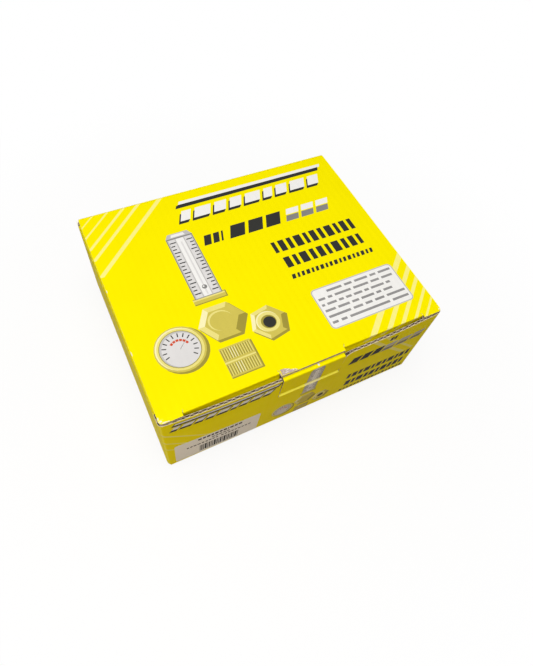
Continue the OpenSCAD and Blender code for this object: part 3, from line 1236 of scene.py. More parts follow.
    def notch_top(self, out: float) -> float:
        """Height of the rounded corner beside the lock tab.

        Args:
            out: Distance from the tab's cut.

        Returns:
            The height there.
        """
        s = self.sizes
        across = 1 - min(1.0, out / s.notch_r)
        return s.wall_top - s.notch_h * (1 - math.sqrt(1 - across * across))

    def notch(self) -> list[Point]:
        """Points down the rounded corner beside the lock tab, from its top.

        Returns:
            The points, as distance round the walls and height.
        """
        cut_r = self.along_front(self.sizes.slot_half)
        outs = (self.sizes.notch_r, 4.4, 3.0, 1.9, 1.0, 0.4, 0.1, 0.0)
        return [(cut_r + out, self.notch_top(out)) for out in outs]

    def pale_notch_line(self) -> list[Point]:
        """The pale line printed along the rounded corner beside the lock tab.

        Returns:
            The line's outline.
        """
        notch = self.notch()
        foot_u, foot_v = notch[-1]
        inner = [(u + 0.55, v - 0.45) for u, v in notch]
        return [*notch, (foot_u, foot_v - 5), (foot_u + 0.3, foot_v - 5), *reversed(inner)]

    def worn(self, u: float, v: float) -> float:
        """Wear of the walls: strongest at the upright corners and the top edge; at the upright corners it is
        partly a painted highlight down each rounded edge.

        Args:
            u: Distance round the walls.
            v: Height.

        Returns:
            The wear with its painted highlight, from 0 to 1.
        """
        e = self.ends
        corners = ((e.left_end, e.front), (e.front_end, e.right), (e.right_end, e.back))
        # Wear and painted highlight down the rounded upright corners, where yellow's worn colour is bright
        # yellow.
        upright = max(0.0, 1 - min(abs(u - (start + end) / 2) for start, end in corners) / 2.2)
        edge = max(0.0, 1 - abs(self.sizes.wall_top - v) / 1.1)
        patch = patches(u * 0.06, v * 0.09, 1.7)
        return min(1.0, upright * (0.75 + 0.25 * patch) + edge * (0.65 + 0.35 * patch))

    def flap(self, mesh: BoardMesh, side: Side, path: BentPath, outline: list[Point]) -> None:
        """Adds one folded flap with its flutes.

        Args:
            mesh: Where it goes.
            side: The plane across its fold.
            path: Its bend in that plane.
            outline: Its outline, along the fold and along the path.
        """

        def place(u: float, v: float, depth: float) -> Vector:
            """Bends a flat spot of the flap into space."""
            return side.point(u, path.point(v, depth))

        us, vs, stops = [p[0] for p in outline], [p[1] for p in outline], path.stops(12)
        mesh.board(Cut(outline, [], [], between(min(us), max(us), 14), stops), place, self.sizes)
        at_end = [u for u, v in outline if abs(v - max(vs)) < 0.01]
        at_start = [u for u, v in outline if abs(v - min(vs)) < 0.01]
        low = max(min(us), min(at_end), min(at_start)) + FLUTE_SIDE
        high = min(max(us), max(at_end), max(at_start)) - FLUTE_SIDE
        inner = [v for v in stops if FLUTE_SIDE < v < path.length - FLUTE_SIDE]
        mesh.flutes(place, low, high, [FLUTE_END, *inner, path.length - FLUTE_END], self.sizes)

    def dust_flaps(self, mesh: BoardMesh) -> None:
        """Adds the two flaps under the lid.

        Args:
            mesh: Where they go.
        """
        s = self.sizes
        near, far = s.front_y + self.dust_front, s.back_y - self.dust_back
        bend, inset = 30, 2
        for side, sign in ((LEFT, -1), (RIGHT, 1)):
            parts = [(s.corner_r, 90), (self.dust_l, 0)]
            path = BentPath((-s.half_w, s.wall_top - s.corner_r), 90, parts, -1)
            ring = [(near, 0), (far, 0), (far - inset, bend), (far - self.dust_taper, path.length)]
            ring += [(near + self.dust_taper, path.length), (near + inset, bend)]
            self.flap(mesh, side, path, [(sign * y, v) for y, v in ring])

    def floor_flaps(self, mesh: BoardMesh) -> None:
        """Adds the four bottom flaps, folded in from the walls.

        Args:
            mesh: Where they go.
        """
        s = self.sizes
        middle = (s.front_y + s.back_y) / 2
        for side, edge in ((FRONT, s.front_y), (BACK, -s.back_y)):
            run = abs(middle - s.front_y) - self.seam / 2 - s.corner_r
            path = BentPath((edge + s.corner_r + run, 0), 180, [(run, 0), (s.corner_r, 90)], -1)
            half = s.half_w - self.floor_play
            self.flap(mesh, side, path, quad(-half, 0, half, path.length))
        base, run = s.board + s.flap_gap, self.floor_l
        bend, inset = 30, 6
        for side in (LEFT, RIGHT):
            path = BentPath((-s.half_w + s.corner_r + run, base), 180, [(run, 0), (s.corner_r, 90)], -1)
            ends = (s.front_y + self.floor_side, s.back_y - self.floor_side)
            low, high = sorted(side.along.y * end for end in ends)
            ring = [(low + inset, 0), (high - inset, 0), (high, bend)]
            ring += [(high, path.length), (low, path.length), (low, bend)]
            self.flap(mesh, side, path, ring)

    def build(self) -> list[bpy.types.Object]:
        """Builds the still pieces.

        Returns:
            The pieces, each riding on the carton.
        """
        made = []
        for name, adds in (
            ("carton_walls", self.walls),
            ("carton_dust_flaps", self.dust_flaps),
            ("carton_bottom_flaps", self.floor_flaps),
        ):
            mesh = BoardMesh()
            adds(mesh)
            obj = mesh.make(name, self.inks)
            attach(obj, "carton")
            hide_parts("carton")
            made.append(obj)
        return made


@dataclass
class LidBoard:
    """The lid with its tuck flap, its slits, the torn spot and the crease that it hangs on."""

    sizes: Sizes
    inks: Inks
    straight_to: float = 60.0
    corner_r: float = 3.0
    cut_gap: float = 0.2
    curl_run: float = 6.0
    swell_from: float = 3.0
    swell_run: float = 6.0
    ebb_run: float = 16.0
    swell_gap: float = 0.25
    tear: tuple[Point, ...] = (
        (-27.9, -102.5),
        (-13.5, -102.6),
        (-18.5, -100.2),
        (-23.5, -97.6),
        (-27.6, -97.2),
    )

    def __post_init__(self) -> None:
        """Lays out the bend from the tuck flap's free edge up and over to the hinge."""
        s = self.sizes
        drop = s.tuck_l - s.tuck_fold_r
        lean = math.degrees(math.atan2(s.tuck_set, drop))
        run = s.back_y - s.hinge_run - (s.lid_crease_y + s.tuck_fold_r)
        parts = [(drop, 0), (s.tuck_fold_r, 90 + lean), (run, 0)]
        self.path = BentPath((0, 0), 90 + lean, parts, -1)
        level = self.path.spans[2]
        self.path.shift(Vector((s.lid_crease_y + s.tuck_fold_r, s.top)) - level.origin)
        self.base = s.lid_crease_y + s.tuck_fold_r - level.start

    def place(self, u: float, v: float, depth: float) -> Vector:
        """Bends the tuck flap down and leaves the lid, its lip and its shoulders level.

        Args:
            u: Place along the front.
            v: Place from front to back on the flat sheet.
            depth: Depth from the outer face.

        Returns:
            The point in space.
        """
        s = self.sizes
        past = s.lid_crease_y - v
        shoulder = abs(u) > s.slit_x and past < s.shoulder + 0.3
        lip = abs(u) < s.slot_half and past < s.lip + 0.1
        if v >= s.lid_crease_y + s.tuck_fold_r or shoulder or lip:
            curls = shoulder and past > -self.curl_run
            curl = 0.5 * ((past + self.curl_run) / 8) ** 2 if curls else 0.0
            return Vector((u, v, s.top - depth - curl))
        spot = self.path.point(v - self.base, depth)
        return FRONT.point(u, Vector((spot.x - self.bulge(u, spot.y), spot.y)))

    def bulge(self, x: float, z: float) -> float:
        """How far the tuck flap swells forward to rest on the bowed front wall.

        Args:
            x: Place along the front.
            z: Height.

        Returns:
            The distance, in millimetres.
        """
        s = self.sizes
        room = s.face_out(x, z) - s.board + (s.lid_crease_y - s.front_y) - self.swell_gap
        deep = s.top - z
        rise = unit((deep - self.swell_from) / self.swell_run)
        fall = unit((deep - (self.swell_from + self.swell_run)) / self.ebb_run)
        return max(0.0, room) * smooth(rise) * (1 - smooth(fall))

    def lid_edge(self, v: float) -> float:
        """Half the lid's width, which draws in a little towards the hinge.

        Args:
            v: Place from front to back.

        Returns:
            The half width there.
        """
        s = self.sizes
        share = unit((v - self.straight_to) / (s.back_y - s.hinge_run - self.straight_to))
        return s.lid_half + (s.lid_back_half - s.lid_half) * share

    def outline(self) -> list[Point]:
        """The sheet's outline, round from the tuck flap's free edge.

        Returns:
            The outline's points.
        """
        s, r, c = self.sizes, self.corner_r, self.sizes.lid_crease_y
        turns = [math.pi / 2 * k / 6 for k in range(7)]
        foot = s.tuck_half - s.tuck_r
        half = [(foot + s.tuck_r * math.sin(a), self.base + s.tuck_r - s.tuck_r * math.cos(a)) for a in turns]
        half += [(s.tuck_half, c - s.shoulder - 0.2), (s.lid_half - r, c - s.shoulder - 0.2)]
        half += [(s.lid_half - r + r * math.sin(a), c - s.shoulder + r - r * math.cos(a)) for a in turns]
        half += [(s.lid_half, self.straight_to), (s.lid_back_half, s.back_y - s.hinge_run)]
        return half + [(-x, y) for x, y in reversed(half)]

    def slot_foot(self) -> float:
        """Lower edge of the slot for the lock tab, on the flat sheet."""
        s = self.sizes
        return self.base + (s.top - s.board - s.slot_h) - (s.top - s.tuck_l)

    def split(self, x: float, lean: float, reach: float) -> list[Point]:
        """A small split that runs on from the end of a slit.

        Args:
            x: The slit's place.
            lean: How far the split runs aside.
            reach: How far it runs back.

        Returns:
            Its four corners.
        """
        bend = self.sizes.lid_crease_y + self.sizes.tuck_fold_r
        foot = [(x - 0.25, bend - 0.1), (x + 0.25, bend - 0.1)]
        return [*foot, (x + lean + 0.2, bend + reach), (x + lean - 0.2, bend + reach)]

    def holes(self) -> list[list[Point]]:
        """The slot, the slits and the short cuts at the crease.

        Returns:
            One outline for each opening.
        """
        s, c, g = self.sizes, self.sizes.lid_crease_y, self.cut_gap
        bend = c + s.tuck_fold_r
        out = [quad(-s.slot_half - g, self.slot_foot(), s.slot_half + g, c - s.lip)]
        for sign in (-1, 1):
            x = sign * s.slot_half
            out.append(quad(x - g, c - s.lip - 0.1, x + g, bend))
            out.append(self.split(x, sign * 1.2, 2.2))
            x = sign * s.slit_x
            out.append(quad(x - g, c - s.shoulder - 0.4, x + g, bend))
            out.append(self.split(x, -sign * 0.9, 1.6))
            out.append(quad(x - g * sign, c - s.shoulder - 0.4, sign * (s.lid_half + 2), c - s.shoulder))
        return out

    def worn(self, u: float, v: float) -> float:
        """Wear of the lid: its front corners, its sides and the crease.

        Args:
            u: Place along the front.
            v: Place from front to back.

        Returns:
            The wear, from 0 to 1.
        """
        s = self.sizes
        patch = patches(u * 0.07, v * 0.07, 4.2)
        side = max(0.0, 1 - (self.lid_edge(v) - abs(u)) / 1.6) * (0.25 + 0.5 * patch)
        crease = max(0.0, 1 - abs(v - s.lid_crease_y - 1.0) / 1.6) * 0.34 * patch
        corner = max(0.0, 1 - math.hypot(s.lid_half - abs(u), v - s.lid_crease_y + 1) / 4.5)
        return min(1.0, side + crease + corner * (0.9 if u < 0 else 0.5))

    def lip_edge(self) -> float:
        """Front limit of the torn spot, just inside the edge of the lip."""
        return self.sizes.lid_crease_y - self.sizes.lip + 0.05

    def torn_hole(self) -> list[Point]:
        """The ragged outline of the spot where the printed liner is torn off.

        Returns:
            The outline's points.
        """
        steps, ring = 6, list(self.tear)
        jagged = []
        for (xa, ya), (xb, yb) in zip(ring, [*ring[1:], ring[0]]):
            for k in range(steps):
                t = k / steps
                shake = 0.5 * noise.noise(Vector((xa * 1.3 + k * 2.1, ya + k, 0.4)))
                y = max(ya + (yb - ya) * t + shake, self.lip_edge())
                jagged.append((xa + (xb - xa) * t + shake, y))
        return jagged

    def lid_flutes(self, mesh: BoardMesh, bends: list[float]) -> None:
        """Adds the flutes of the lid, its shoulders, its lip and its tuck flap.

        Args:
            mesh: Where they go.
            bends: Lines that the sheet bends along.
        """
        s, gap = self.sizes, 0.4
        c, bend, slot_low = s.lid_crease_y, s.lid_crease_y + s.tuck_fold_r, self.slot_foot()

        def tapered(u: float, v: float, depth: float) -> Vector:
            """Draws the flutes in with the lid's sides."""
            return self.place(u * self.lid_edge(v) / s.lid_half, v, depth)

        half = s.lid_half - FLUTE_SIDE
        mesh.flutes(tapered, -half, half, between(bend, s.back_y - s.hinge_run, 20), s)
        arc = [v for v in bends if slot_low < v <= bend + 0.01]
        for sign in (-1, 1):
            low, high = sorted((sign * (s.slot_half + gap), sign * (s.slit_x - gap)))
            mesh.flutes(self.place, low, high, [slot_low - 0.3, *arc], s)
            low, high = sorted((sign * (s.slit_x + gap), sign * (s.lid_half - gap)))
            mesh.flutes(self.place, low, high, [c - s.shoulder + 0.2, c, bend], s)
        mesh.flutes(self.place, -s.slot_half + gap, s.slot_half - gap, [c - s.lip + 0.15, c, bend], s)
        low = -s.tuck_half + s.tuck_r
        mesh.flutes(self.place, low, -low, [self.base + FLUTE_END, self.base + 10, slot_low - 0.3], s)
        for sign in (-1, 1):
            low, high = sorted((sign * (s.tuck_half - s.tuck_r), sign * (s.tuck_half - gap)))
            mesh.flutes(self.place, low, high, [self.base + s.tuck_r, slot_low - 0.3], s)

    def lid(self) -> bpy.types.Object:
        """Builds the lid and its tuck flap.

        Returns:
            The piece.
        """
        s = self.sizes
        mesh = BoardMesh()
        fold = self.base + self.path.spans[1].start
        swell = [fold - down for down in (1.1, 2.3, 3.6, 5.0, 6.6, 8.6, 11.0)]
        bends = sorted([*(self.base + stop for stop in self.path.stops(8)), *swell])
        lines_u = [*between(-s.lid_half, s.lid_half, 8), -s.lid_half + 1.6, s.lid_half - 1.6]
        cut = Cut(self.outline(), [*self.holes(), self.torn_hole()], lid_print(s).shapes, lines_u, bends)
        mesh.sheet(cut, self.place, 0.0, s.liner, Ink.KRAFT, Ink.LINER_EDGE, self.worn)
        plain = Cut(self.outline(), self.holes(), [], lines_u, bends, Ink.KRAFT)
        mesh.sheet(plain, self.place, s.board - s.inner_liner, s.board, Ink.KRAFT, Ink.LINER_EDGE)
        self.lid_flutes(mesh, bends)
        return mesh.make("lid_board", self.inks)

    def loose_fibre(self, mesh: BoardMesh, spot: Point, way: float, length: float) -> None:
        """Adds one fibre that curls up from the torn spot.

        Args:
            mesh: Where it goes.
            spot: Its foot.
            way: Its direction, in radians.
            length: Its length.
        """
        half_wide, steps = 0.09, 4
        first = len(mesh.verts)
        for j in range(steps + 1):
            t = j / steps
            bow = 0.5 * math.sin(math.pi * t)
            x = spot[0] + math.cos(way) * length * t - math.sin(way) * bow
            y = max(spot[1] + math.sin(way) * length * t + math.cos(way) * bow, self.lip_edge())
            rise = self.sizes.top - 0.12 + 0.34 * math.sin(math.pi * t)
            for sign in (-1, 1):
                across = (-math.sin(way) * half_wide * sign, math.cos(way) * half_wide * sign)
                mesh.verts.append(Vector((x + across[0], y + across[1], rise)))
                mesh.flat.append((x, y, 0.0))
                mesh.wear.append(0.0)
        for j in range(steps):
            a = first + 2 * j
            mesh.faces.append((a, a + 2, a + 3, a + 1))
            mesh.inks.append(Ink.FIBRE)

    def torn_ply(self) -> bpy.types.Object:
        """Builds the bared ply in the torn spot, with its loose fibres.

        Returns:
            The piece.
        """
        s = self.sizes
        mesh = BoardMesh()
        xs, ys = [p[0] for p in self.tear], [p[1] for p in self.tear]
        left, right, high_y = min(xs) - 1, max(xs) + 1, max(ys) + 1
        low_y = self.lip_edge()
        ring = [(left, low_y), (right, low_y), (right, low_y + 2), (min(xs) + 6, high_y), (left, high_y)]

        def rough(u: float, v: float, depth: float) -> Vector:
            """Lays a flat spot on the lumpy ply.

            Args:
                u: First coordinate of the flat spot.
                v: Second coordinate of the flat spot.
                depth: Depth from the outer face.

            Returns:
                The point in space.
            """
            lump = 0.16 * noise.noise(Vector((u * 1.1, v * 1.1, 3.0)))
            lump += 0.06 * noise.noise(Vector((u * 4, v * 4, 8.0)))
            return Vector((u, v, s.top - 0.22 + lump - depth))

        flecks = []
        for k in range(12):
            x = min(xs) + 1.0 + (k * 5.3) % 11.0
            y = low_y + 0.6 + (k * 2.9) % 4.4
            flecks.append((Ink.FIBRE, disc(x, y, 0.9 + 0.3 * (k % 3), 0.22, 8, 0.4 * k)))
        cut = Cut(ring, [], flecks, between(left, right, 0.45), between(low_y, high_y, 0.45), Ink.TORN)
        mesh.sheet(cut, rough, 0.0, 0.15, Ink.KRAFT, Ink.TORN)
        for k in range(14):
            aside = (k * 4.1) % 13.0
            spot = (min(xs) + 0.6 + aside, low_y + 0.4 + (k * 1.9) % (4.6 - 0.3 * aside))
            self.loose_fibre(mesh, spot, k * 1.31, 1.2 + 0.5 * (k % 4))
        return mesh.make("lid_torn_ply", self.inks)

    def hinge(self) -> bpy.types.Object:
        """Builds the crease between the back wall and the lid.

        Returns:
            The piece.
        """
        s = self.sizes
        rise = s.top - s.corner_r - s.hinge_low
        parts = [(rise, 0), (s.corner_r, 90), (s.hinge_run - s.corner_r, 0)]
        path = BentPath((-s.back_y, s.hinge_low), 90, parts, -1)

        def place(u: float, v: float, depth: float) -> Vector:
            """Bends a flat spot over the crease and draws its ends in at the walls' corners.

            Args:
                u: First coordinate of the flat spot.
                v: Second coordinate of the flat spot.
                depth: Depth from the outer face.

            Returns:
                The point in space.
            """
            past = min(s.corner_r, max(0.0, abs(u) - s.half_w + s.corner_r))
            tuck = (s.corner_r - math.sqrt(s.corner_r**2 - past**2)) * (1 - v / path.length)
            return BACK.point(u, path.point(v, depth) + Vector((tuck, 0)))

        def worn(u: float, v: float) -> float:
            """Wear along the fold."""
            return max(0.0, 1 - abs(v - rise - 2.5) / 2.2) * 0.45 * patches(u * 0.05, v * 0.1, 7.7)

        half, low, foot = s.lid_back_half, s.hinge_low_half, 4
        stripes = PrintLayout()
        for y, width in BACK_STRIPES:
            x = STRIPE_LEFT + (s.back_y - s.hinge_run - y + STRIPE_DROP) / STRIPE_SLOPE
            run = (path.length - foot) / STRIPE_SLOPE
            far = [(-x - width - run, foot), (-x - run, foot)]
            stripes.put(Ink.PALE, [(-x, path.length), (-x - width, path.length), *far])
        corner = [(low, 0), (low, 3.4), (low + 0.8, 5.0), (low + 1.45, 6.6), (half, 8.2), (half, path.length)]
        ring = [*corner, *((-u, v) for u, v in reversed(corner))]
        mesh = BoardMesh()
        lines_u = [*between(-low, low, 12), -low - 0.9, low + 0.9]
        mesh.board(Cut(ring, [], stripes.shapes, lines_u, path.stops(1.5)), place, s, worn)
        mesh.flutes(place, -low + FLUTE_SIDE, low - FLUTE_SIDE, path.stops(1.5), s)
        obj = mesh.make("hinge_crease", self.inks)
        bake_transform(obj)
        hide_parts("lid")
        return obj

    def build(self) -> list[bpy.types.Object]:
        """Builds the lid's pieces.

        Returns:
            The pieces.
        """
        made = [self.lid(), self.torn_ply()]
        for obj in made:
            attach(obj, "lid")
            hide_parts("lid")
        return [*made, self.hinge()]


@dataclass
class LockTab:
    """The tab cut out of the front wall, folded inward at its top, and the crease that it turns on."""

    sizes: Sizes
    inks: Inks

    def wall_y(self, x: float, z: float) -> float:
        """Outer face of the front wall, or of the tab above its crease.

        Args:
            x: Place along the front.
            z: Height.

        Returns:
            Its y.
        """
        s = self.sizes
        if z <= s.crease_z:
            return s.front_y - s.face_out(x, z)
        low = s.front_y - s.face_out(x, s.crease_z)
        share = (z - s.crease_z) / (s.tab_top - s.crease_z)
        return low + (s.tab_face_y - s.tab_crease_y) * share

    def prints(self) -> list[tuple[Ink, list[Point]]]:
        """The front print, with a white patch where the crease crosses the column: a painted highlight on the
        crease, partly worn print.

        Returns:
            The printed shapes, in x and height.
        """
        z = self.sizes.crease_z
        # White patch on the crease: painted highlight, partly worn print.
        worn_and_highlit = [(-4.4, z - 0.5), (10.4, z - 0.3), (10.6, z + 0.5), (-4.2, z + 0.4)]
        return [*front_print().shapes, (Ink.WHITE, worn_and_highlit)]

    def crease(self) -> bpy.types.Object:
        """Builds the pressed crease, whose upper lip catches the light.

        Returns:
            The piece.
        """
        s = self.sizes
        z = s.crease_z
        bulge = (
            (s.tab_low, 0.0),
            (z - 2.2, 0.20),
            (z - 0.9, 1.00),
            (z - 0.4, 1.10),
            (z + 0.3, -0.85),
            (z + 0.9, -0.70),
            (z + 2.2, -0.15),
            (s.tab_high, 0.0),
        )

        def place(u: float, v: float, depth: float) -> Vector:
            """Lays a flat spot on the wall, pushed out along the crease.

            Args:
                u: First coordinate of the flat spot.
                v: Second coordinate of the flat spot.
                depth: Depth from the outer face.

            Returns:
                The point in space.
            """
            out = 0.0
            for (za, ea), (zb, eb) in zip(bulge, bulge[1:]):
                if za <= v <= zb:
                    out = ea + (eb - ea) * (v - za) / (zb - za)
            out *= max(0.0, 1 - depth / s.board)
            return Vector((u, self.wall_y(u, v) - out + depth, v))

        def worn(u: float, v: float) -> float:
            """Painted highlight along the crease, partly worn paper: full share of each ink's worn colour on
            the crease's lip.
            """
            # Painted highlight: full worn colour on a narrow band at the crease.
            return unit(2.0 - abs(v - z) / 0.6)

        half = s.tab_half
        wide = s.slot_half
        ring = [(-wide, s.tab_low), (wide, s.tab_low), (wide, z - 1), (half, z), (half, s.tab_high)]
        ring += [(-half, s.tab_high), (-half, z), (-wide, z - 1)]
        lines = sorted({zb for zb, _ in bulge} | set(between(s.tab_low, s.tab_high, 0.75)))
        mesh = BoardMesh()
        mesh.board(Cut(ring, [], self.prints(), between(-half, half, 7), lines), place, s, worn)
        mesh.flutes(place, -half + FLUTE_SIDE, half - FLUTE_SIDE, lines, s)
        obj = mesh.make("tab_crease", self.inks)
        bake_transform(obj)
        return obj

    def plate(self) -> bpy.types.Object:
        """Builds the tab above its crease, with the end that is tucked in under the lip.

        Returns:
            The piece.
        """
        s = self.sizes
        rise = s.tab_top - s.tab_fold_r - s.tab_high
        lean = math.degrees(math.atan2(s.tab_crease_y - s.tab_face_y, s.tab_top - s.crease_z))
        inward = s.tab_end_y - s.tab_face_y - s.tab_fold_r
        path = BentPath((0, 0), 90 + lean, [(rise, 0), (s.tab_fold_r, 90 + lean), (inward, 0)], -1)
        path.shift(Vector((s.tab_face_y + s.tab_fold_r, s.tab_top)) - path.spans[2].origin)

        def place(u: float, v: float, depth: float) -> Vector:
            """Bends a flat spot of the tab into space, bowed as the wall is.

            Args:
                u: First coordinate of the flat spot.
                v: Second coordinate of the flat spot.
                depth: Depth from the outer face.

            Returns:
                The point in space.
            """
            bow = self.wall_y(u, s.tab_high) - self.wall_y(0, s.tab_high)
            spot = path.point(v - s.tab_high, depth)
            return Vector((u, spot.x + bow, spot.y))

        def worn(u: float, v: float) -> float:
            """Wear along the fold at the tab's end."""
            near_fold = max(0.0, 1 - abs(v - s.tab_high - rise - 0.9) / 1.4)
            return near_fold * 0.5 * patches(u * 0.12, v * 0.2, 2.9)

        half, end = s.tab_half, s.tab_high + path.length
        fold = s.tab_high + rise
        ring = [(-half, s.tab_high), (half, s.tab_high), (half, fold - 5), (half - 0.5, fold)]
        ring += [(half - 1.0, end), (-half + 0.8, end), (-half + 0.3, fold)]
        prints = [(ink, shape) for ink, shape in self.prints() if max(p[1] for p in shape) < fold + 1]
        prints.append((Ink.WHITE, disc(3.6, fold + 3.0, 0.8, 1.1, 9)))
        prints.append((Ink.WHITE, disc(3.0, fold + 4.2, 0.35, 0.9, 7)))
        stops = [s.tab_high + stop for stop in path.stops(6)]
        mesh = BoardMesh()
        mesh.board(Cut(ring, [], prints, between(-half, half, 7), stops), place, s, worn)
        mesh.flutes(place, -half + 1.2, half - 1.4, [*stops[:-1], end - 0.2], s)
        return mesh.make("lock_tab_board", self.inks)

    def build(self) -> list[bpy.types.Object]:
        """Builds the tab's pieces.

        Returns:
            The pieces.
        """
        plate, crease = self.plate(), self.crease()
        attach(plate, "lock_tab")
        for obj in (plate, crease):
            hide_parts("lock_tab")
        return [plate, crease]


@dataclass
class BarcodeLabel:
    """The paper sticker at the lower left of the front wall."""

    sizes: Sizes
    inks: Inks
    wide: float = 76.0
    tall: float = 40.0
    side: float = 7.0
    base: float = 4.5
    turn: float = -1.1
    corner: float = 2.0
    paper: float = 0.2
    gap: float = 0.05

    def place(self, u: float, v: float, depth: float) -> Vector:
        """Lays a flat spot of the label on the bowed wall.

        Args:
            u: Place along the label.
            v: Place up the label.
            depth: Depth from its outer face.

        Returns:
            The point in space.
        """
        s, t = self.sizes, math.radians(self.turn)
        x = -s.half_w + self.side + u * math.cos(t) - v * math.sin(t)
        z = self.base + u * math.sin(t) + v * math.cos(t) + self.wide * math.sin(-t)
        return Vector((x, s.front_y - s.face_out(x, z) - self.gap - self.paper + depth, z))

    def prints(self) -> list[tuple[Ink, list[Point]]]:
        """Generic rows and bars.

        Returns:
            The printed shapes.
        """
        page = PrintLayout()
        heading = (3, 2.6, 3, 2.2, 3, 2.6, 3, 1, 3, 2.8, 3)
        fine = (2, 2, 2.4, 2.6, 2.4, 2, 2.2, 2, 2, -1, 2.2, 2, 2.2, 2, 2, 2.4, 2, 2.2, 2.2)
        bars = (1, 1.6, 1, 2.6, 1, 1.6, 1, 1, 2.6, 1.6, 1, 2, 1, 2.6, 1, 1.6, 1, 2, 1, 2.6, 1)
        page.plain_row(Row(20, 59, 37.6, 33.8), heading, 0.9, Ink.LABEL_INK)
        page.plain_row(Row(32, 48, 30.8, 28.6), (2, 2, 2.2, 2, 2), 0.6, Ink.LABEL_INK)
        page.plain_row(Row(10, 68, 25.4, 23.0), fine, 0.9, Ink.LABEL_INK)
        page.plain_row(Row(21.5, 57, 19.0, 3.6), bars, 0.9, Ink.LABEL_INK)
        return page.shapes

    def build(self) -> list[bpy.types.Object]:
        """Builds the label.

        Returns:
            The piece in a list.
        """
        mesh = BoardMesh()
        ring = rounded(0, 0, self.wide, self.tall, self.corner)
        cut = Cut(ring, [], self.prints(), between(0, self.wide, 5), between(0, self.tall, 5), Ink.LABEL)

        def worn(u: float, v: float) -> float:
            """Wear along the label's edges."""
            return 0.35 * max(0.0, 1 - min(u, v, self.wide - u, self.tall - v) / 0.8)

        mesh.sheet(cut, self.place, 0.0, self.paper, Ink.LABEL_EDGE, Ink.LABEL_EDGE, worn)
        obj = mesh.make("barcode_label_paper", self.inks)
        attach(obj, "carton")
        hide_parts("barcode_label")
        return [obj]


@dataclass(frozen=True)
class Lamp:
    """One soft square lamp that faces the carton. Its place and side are in metres, its power in watts."""

    name: str
    spot: Point3
    side: float
    power: float
    colour: Colour
    aim: Point3 = (0.0, 0.0, 0.06)

    def build(self) -> None:
        """Adds the lamp."""
        light = bpy.data.lights.new(self.name, "AREA")
        light.size = self.side
        light.energy = self.power
        light.color = self.colour
        obj = bpy.data.objects.new(self.name, light)
        bpy.context.scene.collection.objects.link(obj)
        obj.location = self.spot
        obj.rotation_euler = (Vector(self.aim) - Vector(self.spot)).to_track_quat("-Z", "Y").to_euler()


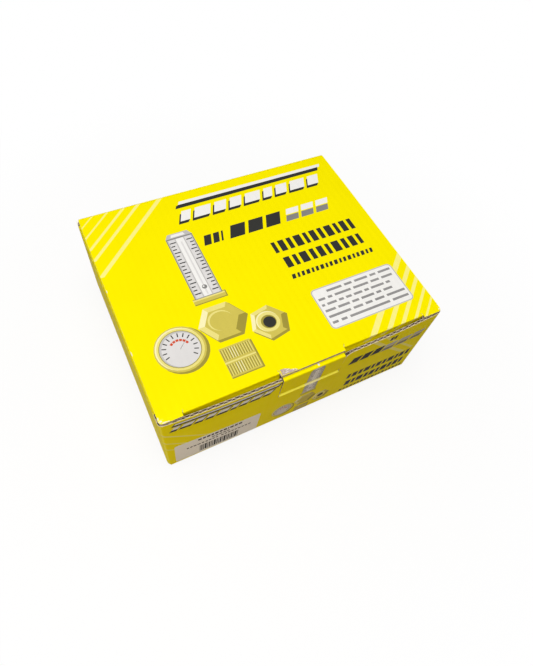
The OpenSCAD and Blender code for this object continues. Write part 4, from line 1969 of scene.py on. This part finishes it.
@dataclass
class Studio:
    """The pale floor, the soft lamps, the white surround and the camera."""

    key: Lamp = Lamp("key", (-0.18, -0.14, 1.2), 0.9, 13.8, (1.0, 0.99, 0.97))
    fill: Lamp = Lamp("fill", (-0.38, -0.50, 0.20), 0.3, 0.52, (1.0, 0.83, 0.58))
    floor_half: float = 6.0
    floor_drop: float = 0.0003
    floor_colour: Colour = (0.38, 0.32, 0.25)
    shadow_white: float = 0.95
    shadow_reach: tuple[float, float] = (0.12, 0.42)
    glow_share: tuple[float, float] = (0.86, 1.0)
    surround: Colour = (1.0, 0.84, 0.62)
    surround_power: float = 0.15
    eye: tuple[float, float, float] = (-137.86, -230.36, 432.05)
    right: tuple[float, float, float] = (0.893465, -0.439856, 0.090811)
    up: tuple[float, float, float] = (0.335985, 0.788752, 0.514767)
    ahead: tuple[float, float, float] = (0.298051, 0.429415, -0.852507)
    lens: float = 26.64

    def seen(self, tree: bpy.types.NodeTree) -> bpy.types.NodeSocket:
        """Adds nodes that give 1 for what the camera sees, also by reflection or through glass.

        Args:
            tree: Where the nodes go.

        Returns:
            The socket that gives it.
        """
        path = tree.nodes.new("ShaderNodeLightPath")
        first = tree.nodes.new("ShaderNodeMath")
        first.operation = "MAXIMUM"
        tree.links.new(path.outputs["Is Camera Ray"], first.inputs[0])
        tree.links.new(path.outputs["Is Glossy Ray"], first.inputs[1])
        second = tree.nodes.new("ShaderNodeMath")
        second.operation = "MAXIMUM"
        tree.links.new(first.outputs[0], second.inputs[0])
        tree.links.new(path.outputs["Is Transmission Ray"], second.inputs[1])
        return second.outputs[0]

    def floor(self) -> None:
        """Adds the floor, white to the camera with the carton's soft shadow on it."""
        mesh = bpy.data.meshes.new("floor")
        half = self.floor_half
        mesh.from_pydata([(x, y, 0) for x, y in quad(-half, -half, half, half)], [], [(0, 1, 2, 3)])
        obj = bpy.data.objects.new("floor", mesh)
        bpy.context.scene.collection.objects.link(obj)
        obj.location.z = -self.floor_drop
        mat = bpy.data.materials.new("floor")
        mat.use_nodes = True
        tree = mat.node_tree
        tree.nodes.clear()
        out = tree.nodes.new("ShaderNodeOutputMaterial")
        dull = tree.nodes.new("ShaderNodeBsdfDiffuse")
        dull.inputs["Color"].default_value = (*self.floor_colour, 1)
        pale = tree.nodes.new("ShaderNodeBsdfDiffuse")
        pale.inputs["Color"].default_value = (*[self.shadow_white] * 3, 1)
        glow = tree.nodes.new("ShaderNodeEmission")
        glow.inputs["Color"].default_value = (1, 1, 1, 1)
        glow.inputs["Strength"].default_value = 1.0
        white = tree.nodes.new("ShaderNodeMixShader")
        spot = tree.nodes.new("ShaderNodeTexCoord")
        reach = tree.nodes.new("ShaderNodeVectorMath")
        reach.operation = "LENGTH"
        tree.links.new(spot.outputs["Object"], reach.inputs[0])
        fade = tree.nodes.new("ShaderNodeMapRange")
        fade.interpolation_type = "SMOOTHSTEP"
        fade.inputs["From Min"].default_value = self.shadow_reach[0]
        fade.inputs["From Max"].default_value = self.shadow_reach[1]
        fade.inputs["To Min"].default_value = self.glow_share[0]
        fade.inputs["To Max"].default_value = self.glow_share[1]
        tree.links.new(reach.outputs["Value"], fade.inputs["Value"])
        tree.links.new(fade.outputs["Result"], white.inputs[0])
        tree.links.new(pale.outputs[0], white.inputs[1])
        tree.links.new(glow.outputs[0], white.inputs[2])
        both = tree.nodes.new("ShaderNodeMixShader")
        tree.links.new(self.seen(tree), both.inputs[0])
        tree.links.new(dull.outputs[0], both.inputs[1])
        tree.links.new(white.outputs[0], both.inputs[2])
        tree.links.new(both.outputs[0], out.inputs["Surface"])
        mesh.materials.append(mat)

    def world(self) -> None:
        """Makes the surround white to the camera and a weak pale light to the carton."""
        world = bpy.data.worlds.new("surround")
        bpy.context.scene.world = world
        world.use_nodes = True
        tree = world.node_tree
        tree.nodes.clear()
        out = tree.nodes.new("ShaderNodeOutputWorld")
        dim = tree.nodes.new("ShaderNodeBackground")
        dim.inputs["Color"].default_value = (*self.surround, 1)
        dim.inputs["Strength"].default_value = self.surround_power
        white = tree.nodes.new("ShaderNodeBackground")
        white.inputs["Strength"].default_value = 1.0
        white.inputs["Color"].default_value = (1, 1, 1, 1)
        both = tree.nodes.new("ShaderNodeMixShader")
        tree.links.new(self.seen(tree), both.inputs[0])
        tree.links.new(dim.outputs[0], both.inputs[1])
        tree.links.new(white.outputs[0], both.inputs[2])
        tree.links.new(both.outputs[0], out.inputs["Surface"])

    def camera(self) -> None:
        """Adds the camera at the photograph's place."""
        data = bpy.data.cameras.new("camera")
        data.sensor_width = 36
        data.sensor_fit = "AUTO"
        data.lens = self.lens
        obj = bpy.data.objects.new("camera", data)
        bpy.context.scene.collection.objects.link(obj)
        turn = Matrix([self.right, self.up, [-c for c in self.ahead]]).transposed()
        obj.matrix_world = Matrix.Translation(Vector(self.eye) * MM) @ turn.to_4x4()
        bpy.context.scene.camera = obj

    def build(self) -> None:
        """Sets the whole studio up."""
        self.floor()
        self.world()
        self.key.build()
        self.fill.build()
        self.camera()
        bpy.context.scene.view_settings.view_transform = "Standard"


def main() -> None:
    """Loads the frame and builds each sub-assembly."""
    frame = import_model()
    sizes = Sizes.measured(frame)
    inks = Inks()
    for kind in (CartonShell, LidBoard, LockTab, BarcodeLabel):
        part = kind(sizes, inks)
        for piece in part.build():
            log.info("%s: %s", type(part).__name__, piece.name)
    Studio().build()
    bpy.context.view_layer.update()


if __name__ == "__main__":
    main()
